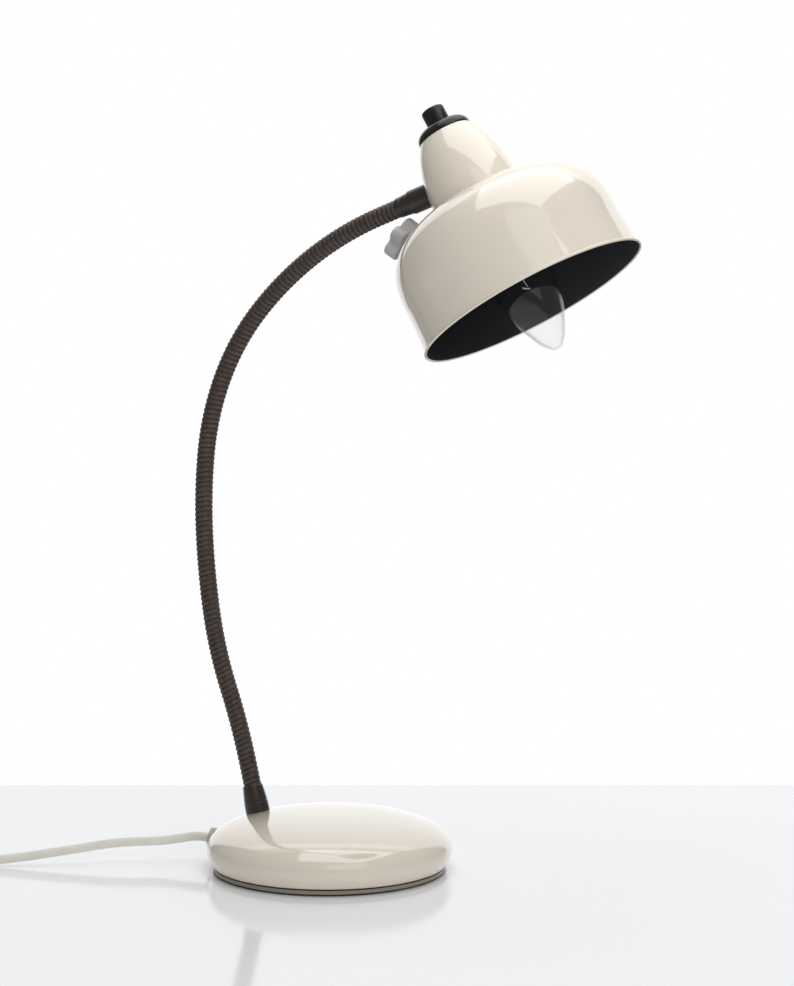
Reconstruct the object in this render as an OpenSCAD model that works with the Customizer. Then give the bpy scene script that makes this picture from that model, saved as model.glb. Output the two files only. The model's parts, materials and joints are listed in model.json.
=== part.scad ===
// A desk lamp: a weighted pebble base, a ribbed gooseneck, a bell shade and a candle bulb.
// All sizes are millimetres. The origin is the centre of the base's underside,
// X points forward to the shade, Z points up, and the arm lies in the XZ plane.

/* [Base] */
// Largest radius of the dome
dome_radius = 70; // [50:0.5:90]
// Height at which the dome is widest
dome_widest_height = 12; // [8:0.5:18]
// Height of the top of the dome
dome_top_height = 33; // [26:0.5:45]
// Fullness of the dome's curve, 2 is an ellipse
dome_fullness = 2.33; // [2:0.01:3]
// Sheet thickness of the dome
dome_wall = 1.5; // [1:0.1:3]
// Height of the dome's lower edge
dome_edge_height = 4.1; // [3:0.1:6]
// How far the lower edge is drawn in under the widest line
dome_edge_inset = 2.7; // [1:0.1:5]
// Thickness of the soft pad under the base
pad_thickness = 0.9; // [0.5:0.1:3]
// How far the soft pad lies inside the plate's edge
pad_inset = 0.5; // [0:0.1:5]
// How far the bottom plate's edge lies inside the dome's widest line
plate_inset = 3.5; // [3:0.1:8]
// Thickness of the bottom plate
plate_thickness = 2; // [1:0.1:4]
// How far the iron weight lies inside the dome's widest line
weight_inset = 6; // [5:0.5:15]
// Height of the weight's outer step
weight_step_height = 15; // [8:0.5:25]
// Radius of the weight's upper step
weight_top_radius = 46; // [20:0.5:60]
// Height of the weight's top, on which the dome's boss rests
weight_top_height = 22; // [10:0.5:30]
// Distance from the centre at which the wiring pocket begins
pocket_start = 28; // [20:0.5:40]
// Width of the wiring pocket
pocket_width = 44; // [30:0.5:60]
// Radius of the threaded boss inside the dome
boss_radius = 8; // [5:0.5:12]
// Radius of the bolt that ties the base together
tie_bolt_radius = 3; // [2:0.25:5]
// Radius of the countersunk head of the bolt
tie_bolt_head_radius = 6; // [4:0.25:9]
// Length of the countersunk head
tie_bolt_head_length = 3.3; // [2:0.1:6]
// Length of the bolt's thread in the boss
tie_bolt_grip = 6; // [3:0.5:8]

/* [Foot of the arm] */
// How far the arm's foot lies inside the dome's widest line
foot_inset = 23.5; // [20:0.5:35]
// Lean of the foot away from the head, in degrees
foot_lean = 13; // [5:0.5:25]
// Depth of the flat seat that the foot stands on
seat_depth = 0.4; // [0.3:0.05:0.8]
// Bottom radius of the lower ferrule
foot_ferrule_radius = 7; // [6:0.1:10]
// Top radius of the lower ferrule
foot_ferrule_top_radius = 5.7; // [5.3:0.1:8]
// Length of the lower ferrule
foot_ferrule_length = 16; // [12:0.5:25]
// Length of its nearly cylindrical lower part
foot_ferrule_skirt = 6.4; // [3:0.1:10]
// Radius of the threaded nipples at both ends of the arm
nipple_radius = 5; // [4:0.1:6]
// Bore radius of the nipples
nipple_bore_radius = 3.4; // [2.8:0.1:4]
// Length of a nipple's thread in its ferrule
nipple_grip = 8; // [5:0.5:12]
// Length of the lower nipple below the seat
foot_nipple_reach = 10; // [7:0.5:14]
// Thickness of the nut under the dome
foot_nut_thickness = 3.6; // [2:0.1:6]
// Radius of the washer under the dome
foot_washer_radius = 8.5; // [7:0.1:12]

/* [Arm] */
// Radius of the hose over its ribs
hose_crest_radius = 5.2; // [4:0.1:8]
// Radius of the hose in its grooves
hose_groove_radius = 4.7; // [3.9:0.1:7.5]
// Bore radius of the hose
hose_bore_radius = 2.75; // [2:0.05:4]
// Length of the fixed straight stub at each end of the hose
stub_length = 12; // [11:0.5:20]
// Ribs on a stub
stub_ribs = 4; // [3:1:8]
// Length of each bending link between two joints
link_length = 46; // [30:0.5:60]
// Ribs on a link
link_ribs = 16; // [8:1:24]
// Half of the gap between the links at a joint
joint_half_gap = 0.8; // [0.6:0.05:1.2]
// Radius of the ball at each joint
ball_radius = 3.8; // [3.4:0.05:5]
// Running clearance round the ball
ball_clearance = 0.08; // [0.03:0.01:0.2]
// Height of the ball's flat top above the joint
ball_top = 1.6; // [1:0.1:2.5]
// Radius of the lead inside the arm
lead_radius = 2.45; // [1.5:0.05:3]
// Gap between two leads at a joint
lead_gap = 1.2; // [1:0.1:2]

/* [Head] */
// Outer radius of the shade at its straight side
shade_radius = 63.8; // [45:0.1:90]
// Outer radius of the shade at its rim
shade_rim_radius = 66; // [45:0.5:95]
// Height above the rim at which the side starts to curve in
shade_side_height = 25; // [5:0.5:40]
// Height of the crease between shade and neck above the rim
crease_height = 66.6; // [50:0.1:90]
// Fullness of the shade's curve, 2 is an ellipse
shade_fullness = 2.85; // [2:0.05:3.5]
// Sheet thickness of the shade
shade_wall = 1; // [0.6:0.1:2]
// Radius of the rolled bead on the rim
rim_bead_radius = 1.1; // [0.8:0.1:2]
// Radius of the opening in the top of the shade
shade_opening_radius = 21; // [17:0.5:23]
// Radius of the neck at the crease
neck_radius = 25.3; // [23:0.1:32]
// Height of the neck
neck_height = 38.7; // [30:0.1:45]
// Radius of the neck's flat top
neck_top_radius = 15.5; // [13.5:0.1:18]
// Sheet thickness of the neck
neck_wall = 1; // [0.6:0.1:2]
// Height above the crease at which the arm enters the neck
entry_height = 15.5; // [10:0.5:20]
// Radius of the rivets between neck and shade
rivet_radius = 1.1; // [0.8:0.1:1.3]
// Number of rivets
rivet_count = 4; // [3:1:6]

/* [Upper ferrule] */
// Length of the upper ferrule on the arm's axis
head_ferrule_length = 20.5; // [12:0.5:25]
// Length of its tapered part
head_ferrule_taper = 8.8; // [5:0.1:12]
// Radius where it meets the hose
head_ferrule_tip_radius = 5.5; // [5.3:0.1:8]
// Radius at the end of the taper
head_ferrule_step_radius = 6.1; // [5.5:0.1:8]
// Radius of its collar at the neck
head_ferrule_radius = 6.7; // [6:0.1:9]
// Length of the upper nipple inside the neck
head_nipple_reach = 8; // [6:0.5:8]
// Thickness of the nut inside the neck
head_nut_thickness = 3.5; // [2:0.1:5]

/* [Lampholder] */
// Radius of the lampholder's skirt
holder_radius = 14; // [12:0.1:17]
// Radius of the lampholder's upper body
holder_body_radius = 12.5; // [11:0.1:14]
// Length of the lampholder below the neck's top
holder_length = 59.5; // [55:0.5:70]
// Length of the skirt
holder_skirt_length = 26; // [15:0.5:30]
// Radius of the threaded stem through the neck's top
stem_radius = 9; // [7:0.1:10]
// Length of the stem above the neck
stem_length = 4; // [3:0.1:6]
// Radius of the bore for the bulb
holder_bore_radius = 8.3; // [7.8:0.1:10]
// Wall of the brass thread shell
thread_shell_wall = 0.9; // [0.5:0.1:1]
// Length of the brass thread shell
thread_shell_length = 18; // [12:0.5:20]
// Height of the domed collar on the neck
collar_height = 6.5; // [5:0.1:10]
// Top radius of the collar
collar_top_radius = 8.7; // [7.8:0.1:12]
// Radius of the push button
button_radius = 6.6; // [5:0.1:7]
// Height of the push button above the collar
button_rise = 10.2; // [6:0.1:18]
// Travel of the push button
button_travel = 3; // [1:0.5:4]

/* [Aiming knob] */
// Distance of the knob from the head's axis where it meets the shade
knob_distance = 46; // [40:0.5:52]
// Height of the knob's face above the shade
knob_height = 14; // [10:0.5:20]
// Thickness of the knob's star
knob_star_thickness = 8; // [5:0.5:10]
// Radius of the knob over its lobes
knob_radius = 12.5; // [10:0.25:16]
// Radius of one lobe
knob_lobe_radius = 4.2; // [3:0.1:6]
// Number of lobes
knob_lobes = 5; // [4:1:7]
// Radius of the knob's hub
knob_hub_radius = 6.5; // [5:0.1:8]
// Radius of the knob's threaded stud
stud_radius = 2.5; // [2:0.1:3]

/* [Bulb] */
// Largest radius of the candle bulb
bulb_radius = 17.5; // [15:0.1:20]
// Length of the bulb from its tip to its contact
bulb_length = 98.1; // [80:0.1:110]
// Depth of the bulb's contact below the neck's top
contact_depth = 35.9; // [33:0.1:40]
// Wall of the glass
glass_wall = 0.8; // [0.5:0.1:1.5]
// Radius of the bulb's screw cap
cap_radius = 6.95; // [6:0.05:7]
// Radius of the filament wire
filament_radius = 0.35; // [0.2:0.05:0.6]

/* [Cord] */
// Diameter of the cord
cord_diameter = 5.2; // [4:0.1:7]
// Polar angle at which the cord leaves the base, in degrees
cord_exit_angle = 192; // [150:1:230]
// Height at which the cord leaves the base
cord_exit_height = 14; // [12:0.5:18]
// Radius of the grommet's flange
grommet_flange_radius = 6.2; // [5:0.1:8]
// Thickness of the grommet's flange
grommet_flange_thickness = 1.6; // [1:0.1:3]
// Wall of the grommet round the cord
grommet_wall = 1.8; // [1:0.1:2.5]
// Number of turns in the coil
coil_turns = 8; // [2:1:12]
// Radius of the middle of the coil's turns
coil_middle_radius = 30; // [25:0.5:40]
// Distance between two turns
coil_pitch = 5.7; // [5.7:0.1:8]
// Length of the plug's body
plug_length = 26; // [20:0.5:40]
// Width of the plug
plug_width = 35.3; // [30:0.1:40]
// Thickness of the plug
plug_thickness = 13.7; // [12:0.1:18]
// Length of the plug's tapered strain relief
relief_length = 28; // [20:0.5:60]
// Radius of a plug pin
pin_radius = 2; // [1.5:0.05:2.5]
// Length of a plug pin
pin_length = 19; // [15:0.5:22]
// Distance between the two pins
pin_spacing = 18.6; // [15:0.1:20]

/* [Hidden] */

$fn = 48;
clearance = 0.05;         // between pieces that fit together
moving_clearance = 0.2;   // round a shaft in a sheet hole
through = 1;              // how far a short cut runs past the faces it opens
cut_reach = 10;           // and a cut through a curved sheet
steps = 14;               // points along a quarter of a curved outline
hose_sides = 8;
cord_sides = 10;
coil_sides = 6;
coil_rings = 24;          // rings in one turn
lead_rings = 7;           // rings along the lead or the bore of a link
ball_root = 0.4;          // how deep the ball is let into the link below it
lead_end = 0.1;           // how far a lead stops short of the ball's top
cord_radius = cord_diameter / 2;

// Rest bend of each link in degrees, forward bends are negative
arm_bends = [6.5, -11, -6, -8.5, -17, -19, -14, -14];
links = len(arm_bends);

// Heights in the base
plate_top = pad_thickness + plate_thickness;
plate_radius = dome_radius - plate_inset;
pad_radius = plate_radius - pad_inset;
weight_radius = dome_radius - weight_inset;
foot_distance = dome_radius - foot_inset;
tip_gap = 0.5;            // over the bolt's end
tie_bolt_length = weight_top_height + tie_bolt_grip - pad_thickness;
seat_margin = 0.3;        // of the flat seat round the ferrule
foot_washer_thickness = 1.5;
foot_washer_low = seat_depth - dome_wall - foot_washer_thickness;
nut_wall = 3;             // of the nuts on the two nipples

// Cord anchor and terminal block in the base, and their screws
anchor_start = 7;         // from the dome's surface
anchor_length = 7;
anchor_width = 18;
anchor_height = 16;
block_size = [14, 24, 10];
block_gap = 5.9;          // from the anchor to the block
block_side = -16;
block_screw_edge = 3;     // from the block's front face
block_screw_spread = 8;
block_screw_depth = 4;
screw_radius = 1.5;
screw_head_radius = 2.6;
screw_head_height = 1.5;
screw_edge = 2.8;         // from the anchor's end to its screw
cord_inside = 20.5;       // length of the cord inside the dome
lead_inside = 15;         // length of the lead below the foot's seat

// The dome's outline: an oval quarter above the widest line and a tucked-in edge below
function oval(radius, rise, fullness, t) =
    [radius * pow(cos(t), 2 / fullness), rise * pow(sin(t), 2 / fullness)];
function dome_radius_at(z, inset = 0) =
    (dome_radius - inset)
    * pow(1 - pow((z - dome_widest_height) / (dome_top_height - inset - dome_widest_height),
                  dome_fullness), 1 / dome_fullness);
function dome_height_at(r) =
    dome_widest_height
    + (dome_top_height - dome_widest_height)
    * pow(1 - pow(r / dome_radius, dome_fullness), 1 / dome_fullness);
function dome_edge(f, inset) =
    [dome_radius - inset - dome_edge_inset * (1 - f) * (1 - f),
     dome_edge_height + f * (dome_widest_height - dome_edge_height)];
function dome_outline(inset) = concat(
    [for (f = [0 : 0.25 : 0.75]) dome_edge(f, inset)],
    [for (k = [0 : steps])
        let (q = oval(dome_radius - inset, dome_top_height - inset - dome_widest_height,
                      dome_fullness, 90 * k / steps))
        [k == steps ? 0 : q[0], dome_widest_height + q[1]]]
);

// Slope of the dome's surface above the horizontal where the cord leaves
cord_exit_radius = dome_radius_at(cord_exit_height);
cord_exit_tilt = atan2(
    dome_radius_at(cord_exit_height - 0.5) - dome_radius_at(cord_exit_height + 0.5), 1);
block_corner = [-(cord_exit_radius - anchor_start - anchor_length - block_gap), block_side];

// The arm is a chain of arcs in the XZ plane: heading is the angle above +X
function heading(i) = i == 0 ? 90 + foot_lean : heading(i - 1) + arm_bends[i - 1];
function chord(bend, length) =
    abs(bend) < 0.01 ? length : length * sin(bend / 2) / (bend / 2 * PI / 180);
function toward(angle) = [cos(angle), 0, sin(angle)];
foot_point = [-foot_distance, 0, dome_height_at(foot_distance)];
seat_point = foot_point - seat_depth * toward(heading(0));
function joint_point(i) =
    i == 0
    ? seat_point + (foot_ferrule_length + stub_length) * toward(heading(0))
    : joint_point(i - 1)
        + chord(arm_bends[i - 1], link_length) * toward(heading(i - 1) + arm_bends[i - 1] / 2);
wall_point = joint_point(links) + (stub_length + head_ferrule_length) * toward(heading(links));

// The head hangs on the arm: its tilt and origin follow from where the arm enters the neck
neck_curve = neck_height / sqrt(1 - pow(neck_top_radius / neck_radius, 2));
entry_share = entry_height / neck_curve;
entry_radius = neck_radius * sqrt(1 - entry_share * entry_share);
entry_slope = atan(neck_radius / neck_curve * entry_share / sqrt(1 - entry_share * entry_share));
head_tilt = heading(links) + entry_slope;
head_origin = wall_point
    - (crease_height + entry_height) * toward(90 + head_tilt)
    - entry_radius * toward(180 + head_tilt);
neck_top = crease_height + neck_height;

// The shade's curve reaches the neck's radius at the crease
shade_end = acos(pow(neck_radius / shade_radius, shade_fullness / 2));
shade_rise = (crease_height - shade_side_height) / pow(sin(shade_end), 2 / shade_fullness);
function shade_outline(inset) = [for (k = [0 : steps])
    oval(shade_radius - inset, shade_rise - inset, shade_fullness, shade_end * k / steps)
    + [0, shade_side_height]];

rivet_inset = 1.6;        // from the shade's opening to the rivets

// The neck's curve is a part of an ellipse
function neck_at(height, inset) =
    [(neck_radius - inset) * sqrt(1 - pow((height - crease_height) / (neck_curve - inset), 2)),
     height];
function neck_outline(inset) = [for (k = [0 : steps])
    neck_at(crease_height + inset + k / steps * (neck_height - 2 * inset), inset)];

// Heights in the lampholder
holder_shoulder = neck_top - neck_wall;
stem_top = neck_top + stem_length;
button_clearance = 0.15;
button_cavity_depth = 8.5;
button_flange_rise = 1.5;
button_flange_thickness = 1.9;
button_floor = neck_top - button_cavity_depth;
button_flange_low = neck_top + button_flange_rise;
button_flange_high = button_flange_low + button_flange_thickness;
button_cavity_radius = stem_radius - 1;
button_top = neck_top + collar_height + button_rise;
lip_radius = button_radius + button_clearance;
terminal_radius = 9;
lead_in_head = 15.5;      // from the neck's surface to the terminals
spring_radius = 6;
spring_wall = 1;
contact_radius = 3;
skirt_shoulder = 1.5;     // height of the slope above the skirt
collar_rim = 1;           // height of the collar's straight rim
button_edge = 1.2;        // rounding of the button's top
flange_clearance = 0.3;   // round the button's flange

// The bulb hangs below the floor of the lampholder's bore
cap_length = 20;
cap_cone = 1.8;
contact_length = 1.8;
contact_thickness = 0.8;
terminal_floor_wall = 5.6;
terminal_head_room = 8;   // of the terminal chamber above the lead
bulb_contact_height = neck_top - contact_depth;
bulb_tip_drop = bulb_length - bulb_contact_height;
cap_low = bulb_contact_height - contact_length - cap_cone - cap_length;
bore_floor = bulb_contact_height + contact_thickness;
holder_mouth_height = neck_top - holder_length;
terminal_floor = bore_floor + terminal_floor_wall;
terminal_roof = crease_height + entry_height + terminal_head_room;
// Outline of the glass from its tip: shares of the bulb's largest radius and of its length
glass_shares = [[0.19, 0.011], [0.41, 0.057], [0.57, 0.114], [0.72, 0.173], [0.83, 0.229],
    [0.91, 0.285], [0.96, 0.341], [0.995, 0.408], [1, 0.449], [0.985, 0.5], [0.93, 0.561],
    [0.82, 0.622], [0.68, 0.683], [0.54, 0.734], [0.385, 0.775]];
glass_outline = [for (q = glass_shares)
    [q[0] * bulb_radius, q[1] * bulb_length - bulb_tip_drop]];
glass_end = glass_outline[len(glass_outline) - 1][1];
glass_tip_wall = 1.6;
contact_cone_radius = 4.5;
cap_contact_radius = 2.4;
cap_fit = 0.5;            // how far the cap's inner end lies inside its rim
mount_low = 18;           // lower end of the glass mount above the shade's rim
mount_radius = 1.6;
filament_drop = 9;        // the filament's wire hangs this far below the mount
filament_half_length = 4.5;
filament_spread = 20;     // lean of the two support wires, in degrees
filament_support = 9.6;

// Where the knob's axis meets the shade, and the slope of the shade there
function shade_height_at(r) =
    shade_side_height
    + shade_rise * pow(1 - pow(r / shade_radius, shade_fullness), 1 / shade_fullness);
knob_seat_height = shade_height_at(knob_distance);
knob_lean = atan2(
    shade_height_at(knob_distance - 0.5) - shade_height_at(knob_distance + 0.5), 1);
knob_hub_gap = 0.3;
stud_reach = 8;
knob_washer_radius = 5;
knob_washer_thickness = 0.8;
knob_washer_gap = 0.6;    // the sheet's curve needs it under a flat washer
knob_nut_radius = 4.6;
knob_nut_thickness = 4;

// Route of the free cord from the grommet to the coil, points chosen by hand
cord_route = [[-75.2, -15.9, 14.9], [-81, -17.6, 14.6], [-87.5, -20.6, 13.4],
    [-95, -24.5, 12.4], [-103, -28.8, 12], [-111, -33.5, 11.9], [-119.5, -38.8, 11.4],
    [-127.5, -44.2, 10.4], [-135, -49.4, 9.2], [-143, -54.8, 8], [-151, -60, 6.8],
    [-159, -65, 5.6], [-167, -69.9, 4.6], [-175, -74.9, 3.7], [-183.5, -80.2, 3],
    [-192, -85.6, 2.7]];
// The coil: its centre, the angles at which the cord enters and leaves it, and its height
coil_centre = [-245, -70];
coil_entry_angle = 303;
coil_exit_angle = 180;
coil_lift = cord_radius + 0.02;
coil_turned = 360 * coil_turns + coil_entry_angle - coil_exit_angle;
coil_half = coil_turned / 2;
coil_outer_radius = coil_middle_radius + coil_half / 720 * coil_pitch;
coil_steps = round(coil_turned / 360 * coil_rings);
climb = 90;               // half of the turn over which the coil climbs a layer
plug_axis_height = plug_thickness / 2;
tail_length = 31;
tail_shares = [0.25, 0.5, 0.75, 1];  // points along the tail between coil and plug
tail_falls = [0.15, 0.85, 1, 1];     // share of its fall that the tail has made there
lead_in_rings = 2;        // cord diameters of straight run before the coil
relief_wall = 0.8;        // of the strain relief at its thin end
relief_end_wall = 2.4;    // and at the plug

// Sweeps a ring of points through stations of [centre, direction, side, radius].
// A looped sweep joins its last ring to its first, as a tube with a bore needs.
module swept(stations, sides, looped = false) {
    count = len(stations);
    last = looped ? count - 1 : count - 2;
    points = [for (s = stations, k = [0 : sides - 1])
        let (a = 360 * (k + 0.5) / sides)
        s[0] + s[3] * (cos(a) * s[2] + sin(a) * cross(s[1], s[2]))];
    walls = [for (j = [0 : last], k = [0 : sides - 1])
        let (
            a = j * sides + k,
            b = j * sides + (k + 1) % sides,
            c = (j + 1) % count * sides + k,
            d = (j + 1) % count * sides + (k + 1) % sides
        )
        each [[a, d, b], [a, c, d]]];
    caps = looped ? [] : [
        [for (k = [0 : sides - 1]) k],
        [for (k = [sides - 1 : -1 : 0]) (count - 1) * sides + k]
    ];
    polyhedron(points, concat(walls, caps));
}

// A station on an arc that starts along Z and bends by the given angle
function arc_station(s, bend, length, radius) =
    let (
        turned = bend * s / length,
        arc = abs(bend) < 0.01 ? 0 : length / (bend * PI / 180),
        centre = abs(bend) < 0.01
            ? [0, 0, s]
            : [-(1 - cos(turned)) * arc, 0, sin(turned) * arc]
    )
    [centre, [-sin(turned), 0, cos(turned)], [0, 1, 0], radius];

// A ribbed tube with its bore, from a start gap to an end gap along an arc
module ribbed_tube(length, bend, ribs, start_gap, end_gap) {
    pitch = length / ribs;
    rib_depth = hose_crest_radius - hose_groove_radius;
    function end_radius(gap) = hose_groove_radius + rib_depth * gap / (pitch / 2);
    outside = concat(
        [[start_gap, end_radius(start_gap)]],
        [for (k = [0 : ribs - 1]) each concat(
            [[(k + 0.5) * pitch, hose_crest_radius]],
            k < ribs - 1 ? [[(k + 1) * pitch, hose_groove_radius]] : [])],
        [[length - end_gap, end_radius(end_gap)]]
    );
    inside = [for (k = [lead_rings - 1 : -1 : 0])
        [start_gap + (length - end_gap - start_gap) * k / (lead_rings - 1), hose_bore_radius]];
    swept([for (q = concat(outside, inside)) arc_station(q[0], bend, length, q[1])],
        hose_sides, true);
}

// The ball at the upper end of a link, with a straight bore for the lead
module ball() {
    root = joint_half_gap + ball_root;
    difference() {
        intersection() {
            sphere(r = ball_radius);
            translate([0, 0, -root])
                cylinder(r = ball_radius + 1, h = root + ball_top);
        }
        translate([0, 0, -root - through])
            cylinder(r = hose_bore_radius + clearance, h = root + ball_top + 2 * through);
    }
}

// The cup in the lower end of a link
module cup() {
    sphere(r = ball_radius + ball_clearance);
}

module at_joint(i) {
    translate(joint_point(i))
        rotate([0, 90 - heading(i), 0])
            children();
}

module at_seat() {
    translate(seat_point)
        rotate([0, -foot_lean, 0])
            children();
}

module at_head() {
    translate(head_origin)
        rotate([0, -head_tilt, 0])
            children();
}

module at_knob() {
    at_head()
        translate([-knob_distance, 0, knob_seat_height])
            rotate([0, -knob_lean, 0])
                children();
}

// The frame of the cord's exit: Z points out of the dome
module at_exit() {
    rotate([0, 0, cord_exit_angle])
        translate([cord_exit_radius, 0, cord_exit_height])
            rotate([0, 90 - cord_exit_tilt, 0])
                children();
}

module dome_solid(inset) {
    rotate_extrude()
        polygon(concat(dome_outline(inset), [[0, dome_edge_height]]));
}

module neck_solid(inset) {
    rotate_extrude()
        polygon(concat([[0, crease_height + inset]], neck_outline(inset), [[0, neck_top - inset]]));
}

// Base
module base_shell() {
    color([0.93, 0.9, 0.85])
        difference() {
            union() {
                rotate_extrude()
                    polygon(concat(
                        dome_outline(0),
                        [for (k = [len(dome_outline(dome_wall)) - 1 : -1 : 0])
                            dome_outline(dome_wall)[k]]));
                translate([0, 0, weight_top_height])
                    cylinder(r = boss_radius, h = dome_top_height - dome_wall / 2 - weight_top_height);
            }
            at_seat() {
                cylinder(r = foot_ferrule_radius + seat_margin, h = cut_reach);
                translate([0, 0, -cut_reach])
                    cylinder(r = nipple_radius + clearance, h = 2 * cut_reach);
            }
            at_exit()
                translate([0, 0, -cut_reach])
                    cylinder(r = cord_radius + grommet_wall + clearance, h = 2 * cut_reach);
            translate([0, 0, weight_top_height - through])
                cylinder(r = tie_bolt_radius, h = tie_bolt_grip + through + tip_gap);
        }
}

module base_weight() {
    color([0.2, 0.2, 0.2])
        difference() {
            union() {
                translate([0, 0, plate_top])
                    cylinder(r = weight_radius, h = weight_step_height - plate_top);
                translate([0, 0, plate_top])
                    cylinder(r = weight_top_radius, h = weight_top_height - plate_top);
            }
            translate([-dome_radius - pocket_start, -pocket_width / 2, 0])
                cube([dome_radius, pocket_width, dome_top_height]);
            translate([0, 0, pad_thickness])
                cylinder(r1 = tie_bolt_head_radius, r2 = tie_bolt_radius, h = tie_bolt_head_length);
            cylinder(r = tie_bolt_radius + clearance, h = dome_top_height);
        }
}

module base_plate() {
    color([0.55, 0.51, 0.45])
        difference() {
            translate([0, 0, pad_thickness])
                cylinder(r = plate_radius, h = plate_thickness);
            translate([0, 0, pad_thickness])
                cylinder(r1 = tie_bolt_head_radius, r2 = tie_bolt_radius, h = tie_bolt_head_length);
        }
}

module base_pad() {
    color([0.12, 0.12, 0.12])
        cylinder(r = pad_radius, h = pad_thickness);
}

module tie_bolt() {
    color([0.6, 0.6, 0.6])
        translate([0, 0, pad_thickness])
            union() {
                cylinder(r1 = tie_bolt_head_radius, r2 = tie_bolt_radius, h = tie_bolt_head_length);
                cylinder(r = tie_bolt_radius, h = tie_bolt_length);
            }
}

// Cord entry
module cord_grommet() {
    sleeve_radius = cord_radius + grommet_wall;
    grommet_depth = dome_wall + 2;
    grommet_lip = 1;
    color([0.75, 0.73, 0.68])
        difference() {
            union() {
                difference() {
                    at_exit()
                        translate([0, 0, -cut_reach])
                            cylinder(r = grommet_flange_radius,
                                h = cut_reach + grommet_flange_thickness);
                    dome_solid(-clearance);
                }
                at_exit()
                    translate([0, 0, -grommet_depth])
                        cylinder(r = sleeve_radius, h = grommet_depth + grommet_flange_thickness);
                intersection() {
                    at_exit()
                        translate([0, 0, -grommet_depth])
                            cylinder(r = sleeve_radius + grommet_lip, h = grommet_depth);
                    dome_solid(dome_wall + clearance);
                }
            }
            at_exit()
                translate([0, 0, -cut_reach])
                    cylinder(r = cord_radius + clearance, h = 2 * cut_reach);
        }
}

module cord_inner() {
    color([0.9, 0.87, 0.8])
        at_exit()
            translate([0, 0, -cord_inside])
                cylinder(r = cord_radius, h = cord_inside + grommet_flange_thickness);
}

module at_anchor() {
    rotate([0, 0, cord_exit_angle])
        translate([cord_exit_radius - anchor_start - anchor_length, 0, plate_top])
            children();
}

module at_anchor_screws() {
    for (side = [-1, 1])
        at_anchor()
            translate([anchor_length / 2, side * (anchor_width / 2 - screw_edge), 0])
                children();
}

module at_block_screws() {
    for (side = [-1, 1])
        translate([block_corner[0] + block_size[0] - block_screw_edge,
                   block_corner[1] + block_size[1] / 2 + side * block_screw_spread,
                   plate_top + block_size[2] - block_screw_depth])
            children();
}

module cord_anchor() {
    color([0.8, 0.8, 0.78])
        difference() {
            at_anchor()
                translate([0, -anchor_width / 2, 0])
                    cube([anchor_length, anchor_width, anchor_height - plate_top]);
            at_exit()
                translate([0, 0, -cord_inside])
                    cylinder(r = cord_radius + clearance, h = cord_inside);
            at_anchor_screws()
                cylinder(r = screw_radius, h = anchor_height);
        }
}

module base_screws() {
    color([0.75, 0.7, 0.5]) {
        at_anchor_screws() {
            cylinder(r = screw_radius, h = anchor_height - plate_top);
            translate([0, 0, anchor_height - plate_top])
                cylinder(r = screw_head_radius, h = screw_head_height);
        }
        at_block_screws()
            cylinder(r = screw_radius, h = block_screw_depth + through);
    }
}

module terminal_block() {
    color([0.9, 0.9, 0.88])
        difference() {
            translate([block_corner[0], block_corner[1], plate_top])
                cube(block_size);
            at_exit()
                translate([0, 0, -cord_inside])
                    cylinder(r = cord_radius + clearance, h = cord_inside);
            at_seat()
                translate([0, 0, -lead_inside])
                    cylinder(r = lead_radius + clearance, h = lead_inside);
            at_block_screws()
                cylinder(r = screw_radius, h = block_screw_depth + through);
        }
}

// Foot of the arm
module foot_ferrule() {
    color([0.2, 0.15, 0.12])
        at_seat()
            rotate_extrude()
                polygon([
                    [nipple_radius, 0],
                    [foot_ferrule_radius, 0],
                    [foot_ferrule_radius - 0.2, foot_ferrule_skirt],
                    [foot_ferrule_top_radius, foot_ferrule_length],
                    [lead_radius + moving_clearance, foot_ferrule_length],
                    [lead_radius + moving_clearance, nipple_grip],
                    [nipple_radius, nipple_grip]
                ]);
}

module foot_nipple() {
    color([0.75, 0.65, 0.4])
        at_seat()
            translate([0, 0, -foot_nipple_reach])
                difference() {
                    cylinder(r = nipple_radius, h = foot_nipple_reach + nipple_grip);
                    translate([0, 0, -through])
                        cylinder(r = nipple_bore_radius,
                            h = foot_nipple_reach + nipple_grip + 2 * through);
                }
}

module foot_washer() {
    color([0.7, 0.7, 0.7])
        difference() {
            intersection() {
                at_seat()
                    translate([0, 0, foot_washer_low])
                        cylinder(r = foot_washer_radius, h = 2 * foot_washer_thickness);
                dome_solid(dome_wall + clearance);
            }
            at_seat()
                translate([0, 0, -cut_reach])
                    cylinder(r = nipple_radius + clearance, h = 2 * cut_reach);
        }
}

module foot_nut() {
    color([0.75, 0.65, 0.4])
        at_seat()
            translate([0, 0, foot_washer_low - foot_nut_thickness])
                difference() {
                    cylinder(r = nipple_radius + nut_wall, h = foot_nut_thickness, $fn = 6);
                    translate([0, 0, -through])
                        cylinder(r = nipple_radius, h = foot_nut_thickness + 2 * through);
                }
}

module base_lead() {
    color([0.85, 0.85, 0.85])
        at_seat()
            translate([0, 0, -lead_inside])
                cylinder(r = lead_radius,
                    h = lead_inside + foot_ferrule_length + stub_length + ball_top - lead_end);
}

module arm_root() {
    color([0.25, 0.2, 0.16])
        at_joint(0)
            union() {
                translate([0, 0, -stub_length])
                    ribbed_tube(stub_length, 0, stub_ribs, 0, joint_half_gap);
                ball();
            }
}

// Arm
module arm_link(i) {
    color([0.25, 0.2, 0.16])
        union() {
            difference() {
                at_joint(i)
                    ribbed_tube(link_length, arm_bends[i], link_ribs, joint_half_gap, joint_half_gap);
                at_joint(i)
                    cup();
            }
            at_joint(i + 1)
                ball();
        }
}

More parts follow.
